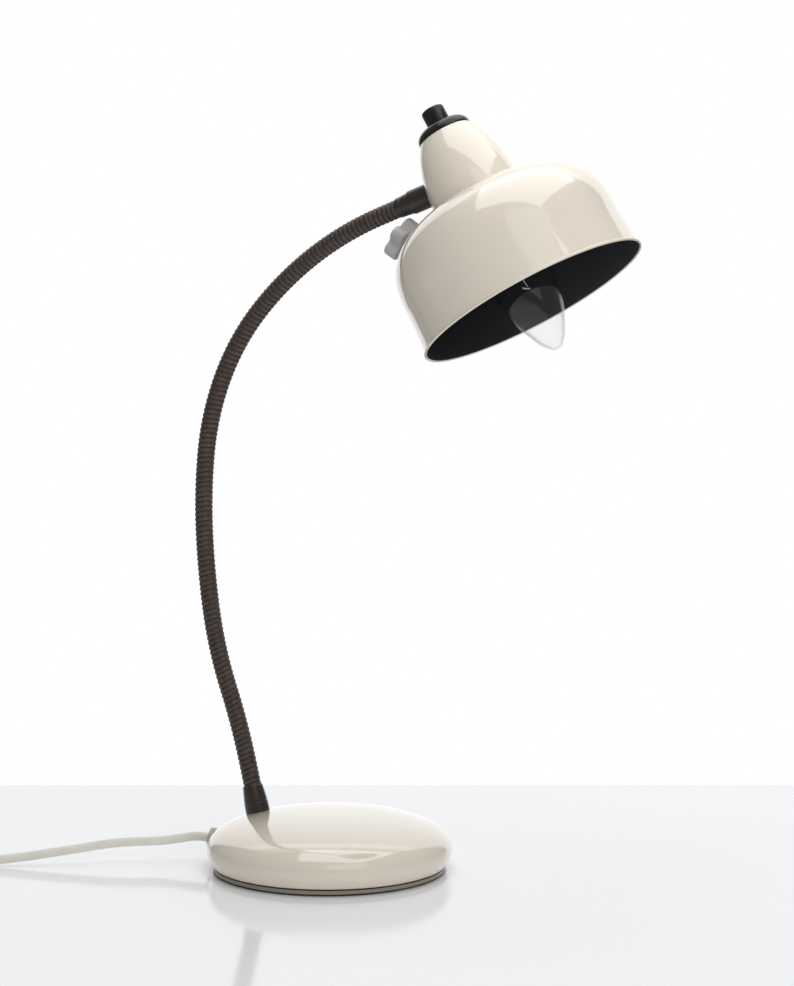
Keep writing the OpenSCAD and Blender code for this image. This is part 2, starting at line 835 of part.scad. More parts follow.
module arm_lead(i) {
    low = ball_top + lead_gap;
    high = link_length + ball_top - lead_end;
    color([0.85, 0.85, 0.85])
        at_joint(i)
            swept([for (k = [0 : lead_rings - 1])
                arc_station(low + (high - low) * k / (lead_rings - 1), arm_bends[i], link_length,
                    lead_radius)], hose_sides);
}

// Head end of the arm
module arm_tip() {
    color([0.25, 0.2, 0.16])
        at_joint(links)
            difference() {
                ribbed_tube(stub_length, 0, stub_ribs, joint_half_gap, 0);
                cup();
            }
}

module head_ferrule() {
    color([0.2, 0.15, 0.12])
        difference() {
            at_joint(links)
                translate([0, 0, stub_length])
                    rotate_extrude()
                        polygon([
                            [lead_radius + moving_clearance, 0],
                            [head_ferrule_tip_radius, 0],
                            [head_ferrule_step_radius, head_ferrule_taper],
                            [head_ferrule_radius, head_ferrule_taper],
                            [head_ferrule_radius, head_ferrule_length + cut_reach / 2],
                            [nipple_radius, head_ferrule_length + cut_reach / 2],
                            [nipple_radius, head_ferrule_length - nipple_grip],
                            [lead_radius + moving_clearance, head_ferrule_length - nipple_grip]
                        ]);
            at_head()
                neck_solid(-clearance);
        }
}

module head_nipple() {
    color([0.75, 0.65, 0.4])
        at_joint(links)
            translate([0, 0, stub_length + head_ferrule_length - nipple_grip])
                difference() {
                    cylinder(r = nipple_radius, h = nipple_grip + head_nipple_reach);
                    translate([0, 0, -through])
                        cylinder(r = nipple_bore_radius,
                            h = nipple_grip + head_nipple_reach + 2 * through);
                }
}

module head_nut() {
    color([0.75, 0.65, 0.4])
        difference() {
            intersection() {
                at_joint(links)
                    translate([0, 0, stub_length + head_ferrule_length])
                        cylinder(r = nipple_radius + nut_wall,
                            h = neck_wall + 1 + head_nut_thickness, $fn = 6);
                at_head()
                    neck_solid(neck_wall + clearance);
            }
            at_joint(links)
                translate([0, 0, stub_length + head_ferrule_length - through])
                    cylinder(r = nipple_radius, h = cut_reach);
        }
}

module head_lead() {
    color([0.85, 0.85, 0.85])
        at_joint(links)
            translate([0, 0, ball_top + lead_gap])
                cylinder(r = lead_radius,
                    h = stub_length + head_ferrule_length + lead_in_head - ball_top - lead_gap);
}

// Shade and neck
module neck_cover() {
    color([0.93, 0.9, 0.85])
        difference() {
            at_head()
                rotate_extrude()
                    polygon(concat(
                        [[shade_opening_radius, crease_height]],
                        neck_outline(0),
                        [[stem_radius + moving_clearance, neck_top],
                         [stem_radius + moving_clearance, neck_top - neck_wall]],
                        [for (k = [steps : -1 : 0]) neck_outline(neck_wall)[k]],
                        [[shade_opening_radius, crease_height + neck_wall]]));
            at_joint(links)
                translate([0, 0, stub_length + head_ferrule_length - cut_reach / 2])
                    cylinder(r = nipple_radius + clearance, h = cut_reach);
            at_head()
                at_rivets()
                    translate([0, 0, crease_height - through])
                        cylinder(r = rivet_radius, h = neck_wall + 2 * through);
        }
}

module shade() {
    color([0.93, 0.9, 0.85])
        difference() {
            at_head()
                difference() {
                    union() {
                        rotate_extrude()
                            polygon(concat(
                                [[shade_rim_radius - shade_wall, rim_bead_radius],
                                 [shade_rim_radius, rim_bead_radius]],
                                shade_outline(0),
                                [[shade_opening_radius, crease_height],
                                 [shade_opening_radius, crease_height - shade_wall]],
                                [for (k = [steps : -1 : 0]) shade_outline(shade_wall)[k]]));
                        rotate_extrude()
                            translate([shade_rim_radius - rim_bead_radius / 2, rim_bead_radius])
                                circle(r = rim_bead_radius);
                    }
                    at_rivets()
                        translate([0, 0, crease_height - shade_wall - through])
                            cylinder(r = rivet_radius, h = shade_wall + 2 * through);
                }
            at_knob()
                translate([0, 0, -cut_reach / 2])
                    cylinder(r = stud_radius + moving_clearance, h = cut_reach);
        }
}

module at_rivets() {
    for (k = [0 : rivet_count - 1])
        rotate([0, 0, 360 * (k + 0.5) / rivet_count])
            translate([shade_opening_radius + rivet_inset, 0, 0])
                children();
}

module shade_rivets() {
    low = crease_height - shade_wall;
    high = crease_height + neck_wall;
    head_radius = rivet_radius + 0.4;
    head_height = 0.8;
    color([0.7, 0.7, 0.7])
        at_head()
            at_rivets()
                union() {
                    translate([0, 0, low - head_height])
                        cylinder(r = head_radius, h = head_height);
                    translate([0, 0, low])
                        cylinder(r = rivet_radius, h = high - low);
                    translate([0, 0, high])
                        cylinder(r = head_radius, h = head_height);
                }
}

// Lampholder
module holder_body() {
    skirt_top = holder_mouth_height + holder_skirt_length;
    color([0.1, 0.1, 0.1])
        difference() {
            at_head()
                rotate_extrude()
                    polygon([
                        [holder_bore_radius, holder_mouth_height],
                        [holder_radius, holder_mouth_height],
                        [holder_radius, skirt_top],
                        [holder_body_radius, skirt_top + skirt_shoulder],
                        [holder_body_radius, holder_shoulder],
                        [stem_radius, holder_shoulder],
                        [stem_radius, stem_top],
                        [button_cavity_radius, stem_top],
                        [button_cavity_radius, button_floor],
                        [0, button_floor],
                        [0, terminal_roof],
                        [terminal_radius, terminal_roof],
                        [terminal_radius, terminal_floor],
                        [0, terminal_floor],
                        [0, bore_floor],
                        [holder_bore_radius, bore_floor]
                    ]);
            at_joint(links)
                translate([0, 0, stub_length + head_ferrule_length])
                    cylinder(r = lead_radius + clearance, h = lead_in_head);
        }
}

module holder_collar() {
    color([0.06, 0.06, 0.06])
        at_head()
            rotate_extrude()
                polygon(concat(
                    [[stem_radius, neck_top]],
                    [for (k = [0 : 6])
                        let (t = 90 * k / 6)
                        [collar_top_radius + (neck_top_radius - collar_top_radius) * cos(t),
                         neck_top + collar_rim + (collar_height - collar_rim) * sin(t)]],
                    [[lip_radius, neck_top + collar_height],
                     [lip_radius, stem_top],
                     [stem_radius, stem_top]]));
}

module thread_shell() {
    color([0.8, 0.65, 0.35])
        at_head()
            translate([0, 0, bore_floor - thread_shell_length])
                difference() {
                    cylinder(r = holder_bore_radius, h = thread_shell_length);
                    translate([0, 0, -through])
                        cylinder(r = holder_bore_radius - thread_shell_wall,
                            h = thread_shell_length + 2 * through);
                }
}

module centre_contact() {
    color([0.8, 0.65, 0.35])
        at_head()
            translate([0, 0, bulb_contact_height + clearance])
                cylinder(r = contact_radius, h = bore_floor - bulb_contact_height - clearance);
}

module button_spring() {
    color([0.7, 0.7, 0.7])
        at_head()
            translate([0, 0, button_floor])
                difference() {
                    cylinder(r = spring_radius, h = button_flange_low - button_floor);
                    translate([0, 0, -through])
                        cylinder(r = spring_radius - spring_wall,
                            h = button_flange_low - button_floor + 2 * through);
                }
}

module push_button() {
    flange_radius = button_cavity_radius - flange_clearance;
    color([0.06, 0.06, 0.06])
        at_head()
            rotate_extrude()
                polygon(concat(
                    [[0, button_flange_low],
                     [flange_radius, button_flange_low],
                     [flange_radius, button_flange_high],
                     [button_radius, button_flange_high]],
                    [for (t = [0 : 30 : 90])
                        [button_radius - button_edge * (1 - cos(t)),
                         button_top - button_edge * (1 - sin(t))]],
                    [[0, button_top]]));
}

// Aiming knob
module aiming_knob() {
    lobe_distance = knob_radius - knob_lobe_radius;
    star_low = knob_height - knob_star_thickness;
    color([0.55, 0.55, 0.55])
        at_knob()
            difference() {
                union() {
                    translate([0, 0, knob_hub_gap])
                        cylinder(r = knob_hub_radius, h = star_low);
                    translate([0, 0, star_low])
                        cylinder(r = lobe_distance, h = knob_star_thickness);
                    for (k = [0 : knob_lobes - 1])
                        rotate([0, 0, 360 * k / knob_lobes])
                            translate([lobe_distance, 0, star_low])
                                cylinder(r = knob_lobe_radius, h = knob_star_thickness);
                }
                cylinder(r = stud_radius, h = stud_reach);
            }
}

module knob_stud() {
    color([0.7, 0.7, 0.7])
        at_knob()
            translate([0, 0, -stud_reach])
                cylinder(r = stud_radius, h = 2 * stud_reach);
}

module knob_washer() {
    color([0.7, 0.7, 0.7])
        at_knob()
            translate([0, 0, -shade_wall - knob_washer_gap - knob_washer_thickness])
                difference() {
                    cylinder(r = knob_washer_radius, h = knob_washer_thickness);
                    translate([0, 0, -through])
                        cylinder(r = stud_radius + clearance, h = knob_washer_thickness + 2 * through);
                }
}

module knob_nut() {
    color([0.7, 0.7, 0.7])
        at_knob()
            translate([0, 0, -shade_wall - knob_washer_gap - knob_washer_thickness
                    - knob_nut_thickness])
                difference() {
                    cylinder(r = knob_nut_radius, h = knob_nut_thickness, $fn = 6);
                    translate([0, 0, -through])
                        cylinder(r = stud_radius + clearance, h = knob_nut_thickness + 2 * through);
                }
}

// Bulb
module bulb_glass() {
    inside = [for (k = [len(glass_outline) - 1 : -1 : 1])
        [glass_outline[k][0] - glass_wall, glass_outline[k][1]]];
    color([0.9, 0.95, 1, 0.4])
        at_head()
            rotate_extrude()
                polygon(concat(
                    [[0, -bulb_tip_drop]],
                    glass_outline,
                    inside,
                    [[0, glass_outline[0][1] + glass_tip_wall]]));
}

module bulb_cap() {
    rim = cap_low + cap_length;
    color([0.8, 0.7, 0.45])
        at_head()
            rotate_extrude()
                polygon([
                    [0, rim - cap_cone],
                    [cap_radius - cap_fit, rim - cap_cone],
                    [cap_radius - cap_fit, glass_end],
                    [cap_radius, glass_end],
                    [cap_radius, rim],
                    [contact_cone_radius, rim + cap_cone],
                    [cap_contact_radius, rim + cap_cone],
                    [cap_contact_radius, bulb_contact_height],
                    [0, bulb_contact_height]
                ]);
}

module bulb_stem() {
    color([0.9, 0.95, 1, 0.6])
        at_head()
            rotate_extrude()
                polygon([
                    [0, mount_low],
                    [mount_radius, mount_low],
                    [1.4 * mount_radius, (mount_low + cap_low) / 2],
                    [cap_radius - 2 * cap_fit, cap_low + cap_length / 4],
                    [cap_radius - 2 * cap_fit, cap_low + cap_length / 2],
                    [0, cap_low + cap_length / 2]
                ]);
}

module bulb_filament() {
    color([0.6, 0.6, 0.6])
        at_head()
            union() {
                for (side = [-1, 1])
                    translate([0, side, mount_low - filament_radius * sin(filament_spread)])
                        rotate([180 + side * filament_spread, 0, 0])
                            cylinder(r = filament_radius, h = filament_support);
                translate([0, -filament_half_length, mount_low - filament_drop])
                    rotate([-90, 0, 0])
                        cylinder(r = filament_radius, h = 2 * filament_half_length);
            }
}

// Cord
function unit(v) = v / norm(v);
function level_side(direction) = unit(cross([0, 0, 1], direction));
exit_direction = [
    cos(cord_exit_angle) * cos(cord_exit_tilt),
    sin(cord_exit_angle) * cos(cord_exit_tilt),
    sin(cord_exit_tilt)
];
exit_face = [
    cord_exit_radius * cos(cord_exit_angle),
    cord_exit_radius * sin(cord_exit_angle),
    cord_exit_height
] + grommet_flange_thickness * exit_direction;

// A point of the coil after so many degrees: it spirals in, climbs a layer and spirals out
function coil_radius_at(turned) =
    coil_outer_radius - coil_pitch * min(turned, coil_turned - turned) / 360;
function coil_height_at(turned) =
    coil_lift + coil_pitch * min(1, max(0, (turned - coil_half + climb) / (2 * climb)));
function coil_point(turned) =
    let (a = coil_entry_angle - turned, r = coil_radius_at(turned))
    [coil_centre[0] + r * cos(a), coil_centre[1] + r * sin(a), coil_height_at(turned)];
coil_points = [for (k = [0 : coil_steps]) coil_point(coil_turned * k / coil_steps)];
function coil_direction_at(angle) = [sin(angle), -cos(angle), 0];
entry_direction = coil_direction_at(coil_entry_angle);
end_direction = coil_direction_at(coil_exit_angle);
top_height = coil_lift + coil_pitch;
tail_points = [for (k = [0 : len(tail_shares) - 1])
    coil_points[coil_steps] + tail_shares[k] * tail_length * end_direction
    + [0, 0, tail_falls[k] * (plug_axis_height - top_height)]];
plug_point = tail_points[3];

// The least gap between turns that aren't next to each other along the cord
coil_gap = min([for (i = [0 : len(coil_points) - 1], j = [i + coil_rings / 2 : len(coil_points) - 1])
    norm(coil_points[i] - coil_points[j])]) - cord_diameter;
echo(coil_gap = coil_gap);

function path_direction(points, k) =
    k == 0 ? unit(points[1] - points[0])
    : k == len(points) - 1 ? unit(points[k] - points[k - 1])
    : unit(unit(points[k + 1] - points[k]) + unit(points[k] - points[k - 1]));
function path_stations(points, radius, first, last) = [for (k = [0 : len(points) - 1])
    let (direction = k == 0 ? first : k == len(points) - 1 ? last : path_direction(points, k))
    [points[k], direction, level_side(direction), radius]];

module cord_run() {
    color([0.9, 0.87, 0.8])
        swept(path_stations(concat([exit_face], cord_route,
                [coil_points[0] - lead_in_rings * cord_diameter * entry_direction,
                 coil_points[0]]),
            cord_radius, exit_direction, entry_direction), cord_sides);
}

module cord_coil() {
    color([0.9, 0.87, 0.8])
        swept(path_stations(concat(coil_points, tail_points),
            cord_radius, entry_direction, end_direction), coil_sides);
}

module at_plug() {
    translate(plug_point)
        rotate([0, 0, coil_exit_angle - 90])
            rotate([0, 90, 0])
                children();
}

module plug_relief() {
    color([0.9, 0.87, 0.8])
        at_plug()
            cylinder(r1 = cord_radius + relief_wall, r2 = cord_radius + relief_end_wall,
                h = relief_length);
}

module plug_body() {
    color([0.9, 0.87, 0.8])
        at_plug()
            translate([0, 0, relief_length])
                linear_extrude(plug_length)
                    plug_outline();
}

// A flat body with round ends, its width level
module plug_outline() {
    end = (plug_width - plug_thickness) / 2;
    square([plug_thickness, 2 * end], center = true);
    for (side = [-1, 1])
        translate([0, side * end])
            circle(d = plug_thickness);
}

module plug_pins() {
    color([0.8, 0.8, 0.8])
        for (side = [-1, 1])
            at_plug()
                translate([0, side * pin_spacing / 2, relief_length + plug_length])
                    cylinder(r = pin_radius, h = pin_length);
}

// Joints for the record: places in metres, directions and ranges follow the chain
for (i = [0 : links])
    echo(joint = i + 1, place = joint_point(i) / 1000,
        direction = i % 2 == 0 ? [0, -1, 0] : toward(heading(i) + 90));
echo(head_origin = head_origin, head_tilt = head_tilt, knob_lean = knob_lean,
    knob_seat_height = knob_seat_height);

base_shell();
base_weight();
base_plate();
base_pad();
tie_bolt();
cord_grommet();
cord_inner();
cord_anchor();
base_screws();
terminal_block();
foot_ferrule();
foot_nipple();
foot_washer();
foot_nut();
base_lead();
arm_root();
arm_link(0);  // arm_link_1
arm_link(1);  // arm_link_2
arm_link(2);  // arm_link_3
arm_link(3);  // arm_link_4
arm_link(4);  // arm_link_5
arm_link(5);  // arm_link_6
arm_link(6);  // arm_link_7
arm_link(7);  // arm_link_8
arm_lead(0);  // arm_lead_1
arm_lead(1);  // arm_lead_2
arm_lead(2);  // arm_lead_3
arm_lead(3);  // arm_lead_4
arm_lead(4);  // arm_lead_5
arm_lead(5);  // arm_lead_6
arm_lead(6);  // arm_lead_7
arm_lead(7);  // arm_lead_8
arm_tip();
head_ferrule();
head_nipple();
head_nut();
head_lead();
neck_cover();
shade();
shade_rivets();
holder_body();
holder_collar();
thread_shell();
centre_contact();
button_spring();
push_button();
aiming_knob();
knob_stud();
knob_washer();
knob_nut();
bulb_glass();
bulb_cap();
bulb_stem();
bulb_filament();
cord_run();
cord_coil();
plug_relief();
plug_body();
plug_pins();
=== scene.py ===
"""A desk lamp dressed over its frame: enamelled base and shade, gooseneck, candle bulb and cord.

Z points up, X from the base towards the shade, and the arm lies in the XZ plane. Meshes are in
metres. Each sub-assembly is a class that holds its sizes, in millimetres, and makes its pieces.
"""

import json
import logging
import math
from collections.abc import Mapping, Sequence
from dataclasses import dataclass
from enum import Enum
from functools import cached_property
from typing import ClassVar

import bmesh
import bpy
import numpy as np
from mathutils import Matrix


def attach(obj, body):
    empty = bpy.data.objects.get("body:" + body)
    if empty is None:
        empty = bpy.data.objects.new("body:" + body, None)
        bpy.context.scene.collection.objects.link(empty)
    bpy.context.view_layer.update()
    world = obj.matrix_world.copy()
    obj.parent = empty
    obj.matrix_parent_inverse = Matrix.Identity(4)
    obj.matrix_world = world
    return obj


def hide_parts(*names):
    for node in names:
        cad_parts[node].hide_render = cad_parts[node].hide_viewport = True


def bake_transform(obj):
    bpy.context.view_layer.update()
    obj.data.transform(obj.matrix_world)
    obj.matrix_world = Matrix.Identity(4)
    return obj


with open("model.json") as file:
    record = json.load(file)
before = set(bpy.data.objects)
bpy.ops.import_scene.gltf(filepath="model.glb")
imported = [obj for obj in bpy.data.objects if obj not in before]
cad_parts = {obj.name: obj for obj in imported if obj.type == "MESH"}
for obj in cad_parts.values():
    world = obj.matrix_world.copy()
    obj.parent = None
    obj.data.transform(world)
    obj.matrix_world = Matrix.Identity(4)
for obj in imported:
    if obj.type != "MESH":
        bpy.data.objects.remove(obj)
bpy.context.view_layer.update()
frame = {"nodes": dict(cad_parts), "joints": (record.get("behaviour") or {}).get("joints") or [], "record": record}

LOG = logging.getLogger("desk_lamp")
Array = np.ndarray
Mesh = bpy.types.Mesh
Material = bpy.types.Material
Socket = bpy.types.NodeSocket
Triple = tuple[float, float, float]
MM = 0.001
TURN = 2 * math.pi
MERGE_DISTANCE = MM / 2000
FLAT_DISTANCE = MM / 5000
SHARP = 35.0


# Places


def joint_vector(name: str, key: str) -> Array:
    """Reads a vector of one of the frame's joints, its "pos_m" or its "axis"."""
    return np.array(next(entry[key] for entry in frame["joints"] if entry["name"] == name), float)


def unit(vector: Array) -> Array:
    """Scales a vector, or each row of an array of vectors, to length 1."""
    return vector / np.linalg.norm(vector, axis=-1, keepdims=True)


@dataclass(frozen=True)
class Place:
    """A right-handed frame of its own for a round or symmetrical piece."""

    origin: Array  # where the piece's own origin lies
    x: Array  # direction of its X axis
    z: Array  # direction of its Z axis, at a right angle to x

    def world(self, points: Array) -> Array:
        """Carries points, as the last axis of an array, from the piece's own frame into the lamp's."""
        return self.origin + points @ np.stack([self.x, np.cross(self.z, self.x), self.z])

    def along(self, distance: float) -> "Place":
        """Gives the same frame moved along its Z axis."""
        return Place(self.origin + distance * self.z, self.x, self.z)


def upright(origin: Array, z: Array) -> Place:
    """Gives a frame whose Z axis is given and whose Y axis lies level, across the arm's plane."""
    return Place(origin, np.cross([0.0, 1.0, 0.0], z), z)


FLOOR_PLACE = upright(np.zeros(3), np.array([0.0, 0.0, 1.0]))


def head_place() -> Place:
    """The head's own frame: its origin is the middle of the shade's opening and Z is its axis."""
    knob = upright(joint_vector("knob_turn", "pos_m"), -unit(joint_vector("button_press", "axis")))
    return Place(knob.world(np.array([AimingKnob.distance, 0, -AimingKnob.seat]) * MM), knob.x, knob.z)


# Outlines


def oval(radius: float, rise: float, fullness: float, t: Array) -> Array:
    """A quarter of a full oval: radius cos(t)^(2/fullness) out and rise sin(t)^(2/fullness) up."""
    power = 2 / fullness
    return np.column_stack([radius * np.cos(t) ** power, rise * np.sin(t) ** power])


def rounded(corners: Sequence[Triple], steps: int = 5) -> Array:
    """A closed outline whose corners are rounded.

    Each corner is replaced by a smooth curve between the points that lie one rounding distance
    away from it on both sides: the sum of the start times (1-t)^2, the corner times 2t(1-t) and
    the end times t^2.

    Args:
        corners: Radius, height and rounding distance of each corner, in millimetres.
        steps: How many intervals a rounded corner has.

    Returns:
        One row of radius and height for each point, in metres.
    """
    given = np.array(corners) * MM
    points = given[:, :2]
    before = unit(np.roll(points, 1, axis=0) - points)
    after = unit(np.roll(points, -1, axis=0) - points)
    t = np.linspace(0, 1, steps + 1)[:, None]
    curves = []
    for point, back, ahead, distance in zip(points, before, after, given[:, 2]):
        if distance == 0:
            curves.append(point[None])
            continue
        start, end = point + distance * back, point + distance * ahead
        curves.append(start * (1 - t) ** 2 + point * 2 * t * (1 - t) + end * t**2)
    return np.concatenate(curves)


def moved_in(outline: Array, distance: float) -> Array:
    """Moves an open outline to its left, along its direction turned a quarter.

    Args:
        outline: One row of radius and height for each point.
        distance: How far it moves.

    Returns:
        The moved outline, kept on its own side of the axis.
    """
    slope = unit(np.gradient(outline, axis=0))
    moved = outline + distance * np.column_stack([-slope[:, 1], slope[:, 0]])
    moved[:, 0] = np.maximum(moved[:, 0], 0)
    return moved


def sheet_outline(outside: Array, thickness: float, steps: int = 6) -> Array:
    """Closes an open outline into the section of a sheet with a round lower edge.

    Args:
        outside: The outer side, with the material on its left as it is followed.
        thickness: The sheet's thickness.
        steps: How many intervals the round edge has.

    Returns:
        The closed outline, outer side first.
    """
    inside = moved_in(outside, thickness)
    across = (inside[0] - outside[0]) / 2
    ahead = np.array([across[1], -across[0]])
    turn = np.linspace(0, math.pi, steps + 1)[1:-1, None]
    edge = outside[0] + across + np.cos(turn) * across - np.sin(turn) * ahead
    return np.concatenate([outside, inside[::-1], edge])


def smooth_curve(knots: Array, steps: int) -> Array:
    """A smooth curve through knots.

    Between two knots it is the cubic that has both knots' slopes, and a knot's slope is half the
    step from the knot before it to the knot after it.

    Args:
        knots: One row for each knot, in any number of dimensions.
        steps: How many intervals lie between two knots.

    Returns:
        One row for each point of the curve, the last knot included.
    """
    slope = np.gradient(knots, axis=0)
    t = (np.arange(steps) / steps)[None, :, None]
    start, end = knots[:-1, None], knots[1:, None]
    leave, arrive = slope[:-1, None], slope[1:, None]
    curve = start * (2 * t**3 - 3 * t**2 + 1) + leave * (t**3 - 2 * t**2 + t)
    curve = curve + end * (3 * t**2 - 2 * t**3) + arrive * (t**3 - t**2)
    return np.concatenate([curve.reshape(-1, knots.shape[1]), knots[-1:]])


def evenly(points: Array, spacing: float) -> Array:
    """Places points evenly along a line.

    Args:
        points: The line's points, close together.
        spacing: The distance wanted between two points.

    Returns:
        The evenly spaced points, both ends included.
    """
    run = np.concatenate([[0], np.cumsum(np.linalg.norm(np.diff(points, axis=0), axis=1))])
    wanted = np.linspace(0, run[-1], max(2, round(run[-1] / spacing) + 1))
    return np.column_stack([np.interp(wanted, run, column) for column in points.T])


# Meshes


def angles(count: int) -> Array:
    """Evenly spaced angles round a turn, from 0."""
    return np.arange(count) * TURN / count


def turned(radius: Array, height: Array, angle: Array) -> Array:
    """A grid of points round the Z axis: r cos(a), r sin(a), z at radius r, angle a and height z."""
    return np.stack([radius * np.cos(angle), radius * np.sin(angle), height + 0 * angle], axis=-1)


def ring(angle: Array, first: Array, second: Array) -> Array:
    """The directions at angles from a first towards a second one, for each row of the two."""
    return np.cos(angle)[:, None] * first[:, None] + np.sin(angle)[:, None] * second[:, None]


def shaded(mesh: Mesh, sharp: float = SHARP) -> Mesh:
    """Shades a mesh smooth but for its sharp edges.

    Args:
        mesh: The mesh.
        sharp: Edges whose faces turn by more than this many degrees are drawn sharp.

    Returns:
        The same mesh.
    """
    mesh.shade_smooth()
    mesh.set_sharp_from_angle(angle=math.radians(sharp))
    return mesh


def mesh_from_grid(
    points: Array, close_rows: bool, close_columns: bool = True, sharp: float = SHARP
) -> Mesh:
    """Makes a mesh of four-sided faces from a grid of points.

    The faces point to the right of the rows' direction when the columns run towards the eye, so
    an outline that goes up on the outside of a round piece faces outwards.

    Args:
        points: The grid, rows by columns by three.
        close_rows: Whether the last row joins the first.
        close_columns: Whether the last column joins the first.
        sharp: Edges whose faces turn by more than this many degrees are drawn sharp.

    Returns:
        The mesh, with points that lie in one place merged and faces without area removed.
    """
    rows, columns = points.shape[:2]
    j = np.arange(rows if close_rows else rows - 1)[:, None]
    k = np.arange(columns if close_columns else columns - 1)
    j_next, k_next = (j + 1) % rows, (k + 1) % columns
    corners = ((j, k), (j, k_next), (j_next, k_next), (j_next, k))
    faces = np.stack([row * columns + column for row, column in corners], axis=-1).reshape(-1, 4)
    mesh = bpy.data.meshes.new("piece")
    mesh.from_pydata(points.reshape(-1, 3), [], faces.tolist())
    work = bmesh.new()
    work.from_mesh(mesh)
    bmesh.ops.remove_doubles(work, verts=work.verts, dist=MERGE_DISTANCE)
    bmesh.ops.dissolve_degenerate(work, edges=work.edges, dist=FLAT_DISTANCE)
    work.to_mesh(mesh)
    work.free()
    return shaded(mesh, sharp)


def joined(meshes: Sequence[Mesh]) -> Mesh:
    """Puts several meshes into one and removes the single ones.

    Args:
        meshes: The meshes to join.

    Returns:
        The joined mesh.
    """
    work = bmesh.new()
    for mesh in meshes:
        work.from_mesh(mesh)
        bpy.data.meshes.remove(mesh)
    whole = bpy.data.meshes.new("piece")
    work.to_mesh(whole)
    work.free()
    return shaded(whole)


def revolve(outline: Array, place: Place, segments: int = 96, sharp: float = SHARP) -> Mesh:
    """Turns a closed outline round an axis.

    Args:
        outline: Radius and height of each point, going up on the outside.
        place: The frame whose Z axis is turned about.
        segments: How many steps a turn has.
        sharp: Edges sharper than this many degrees stay sharp.

    Returns:
        The closed mesh.
    """
    grid = turned(outline[:, :1], outline[:, 1:], angles(segments))
    return mesh_from_grid(place.world(grid), close_rows=True, sharp=sharp)


def tube(centre: Array, radius: float, sides: int) -> Mesh:
    """Carries a circle along a line.

    The circle's first radius is level, at a right angle to the line's direction, and its second
    is at a right angle to both.

    Args:
        centre: The line's points, in the lamp's frame.
        radius: The tube's radius.
        sides: How many sides the circle has.

    Returns:
        The mesh, closed at both ends.
    """
    direction = unit(np.gradient(centre, axis=0))
    level = unit(np.cross([0.0, 0.0, 1.0], direction) + 1e-9)
    wall = centre[:, None] + radius * ring(angles(sides), level, np.cross(direction, level))
    start, end = (np.broadcast_to(point, (1, sides, 3)) for point in (centre[0], centre[-1]))
    return mesh_from_grid(np.concatenate([start, wall, end]), close_rows=False, sharp=50)


# Shader expressions


class Value:
    """A number that changes over a surface, as a socket that Python's operators work on."""

    def __init__(self, shader: "Shader", socket: Socket) -> None:
        """Wraps a socket of a shader."""
        self.shader = shader
        self.socket = socket

    def _math(self, operation: str, first: "Value | float", second: "Value | float") -> "Value":
        """Gives the result of a Math node with an operation and two inputs."""
        return self.shader.value("ShaderNodeMath", {0: first, 1: second}, operation=operation)

    def __add__(self, other: "Value | float") -> "Value":
        """Gives self + other."""
        return self._math("ADD", self, other)

    def __sub__(self, other: "Value | float") -> "Value":
        """Gives self - other."""
        return self._math("SUBTRACT", self, other)

    def __rsub__(self, other: float) -> "Value":
        """Gives other - self."""
        return self._math("SUBTRACT", other, self)

    def __mul__(self, other: "Value | float") -> "Value":
        """Gives self * other."""
        return self._math("MULTIPLY", self, other)

    __radd__ = __add__
    __rmul__ = __mul__

    def clamped(self) -> "Value":
        """Keeps the number between 0 and 1."""
        return self._math("MAXIMUM", self._math("MINIMUM", self, 1.0), 0.0)


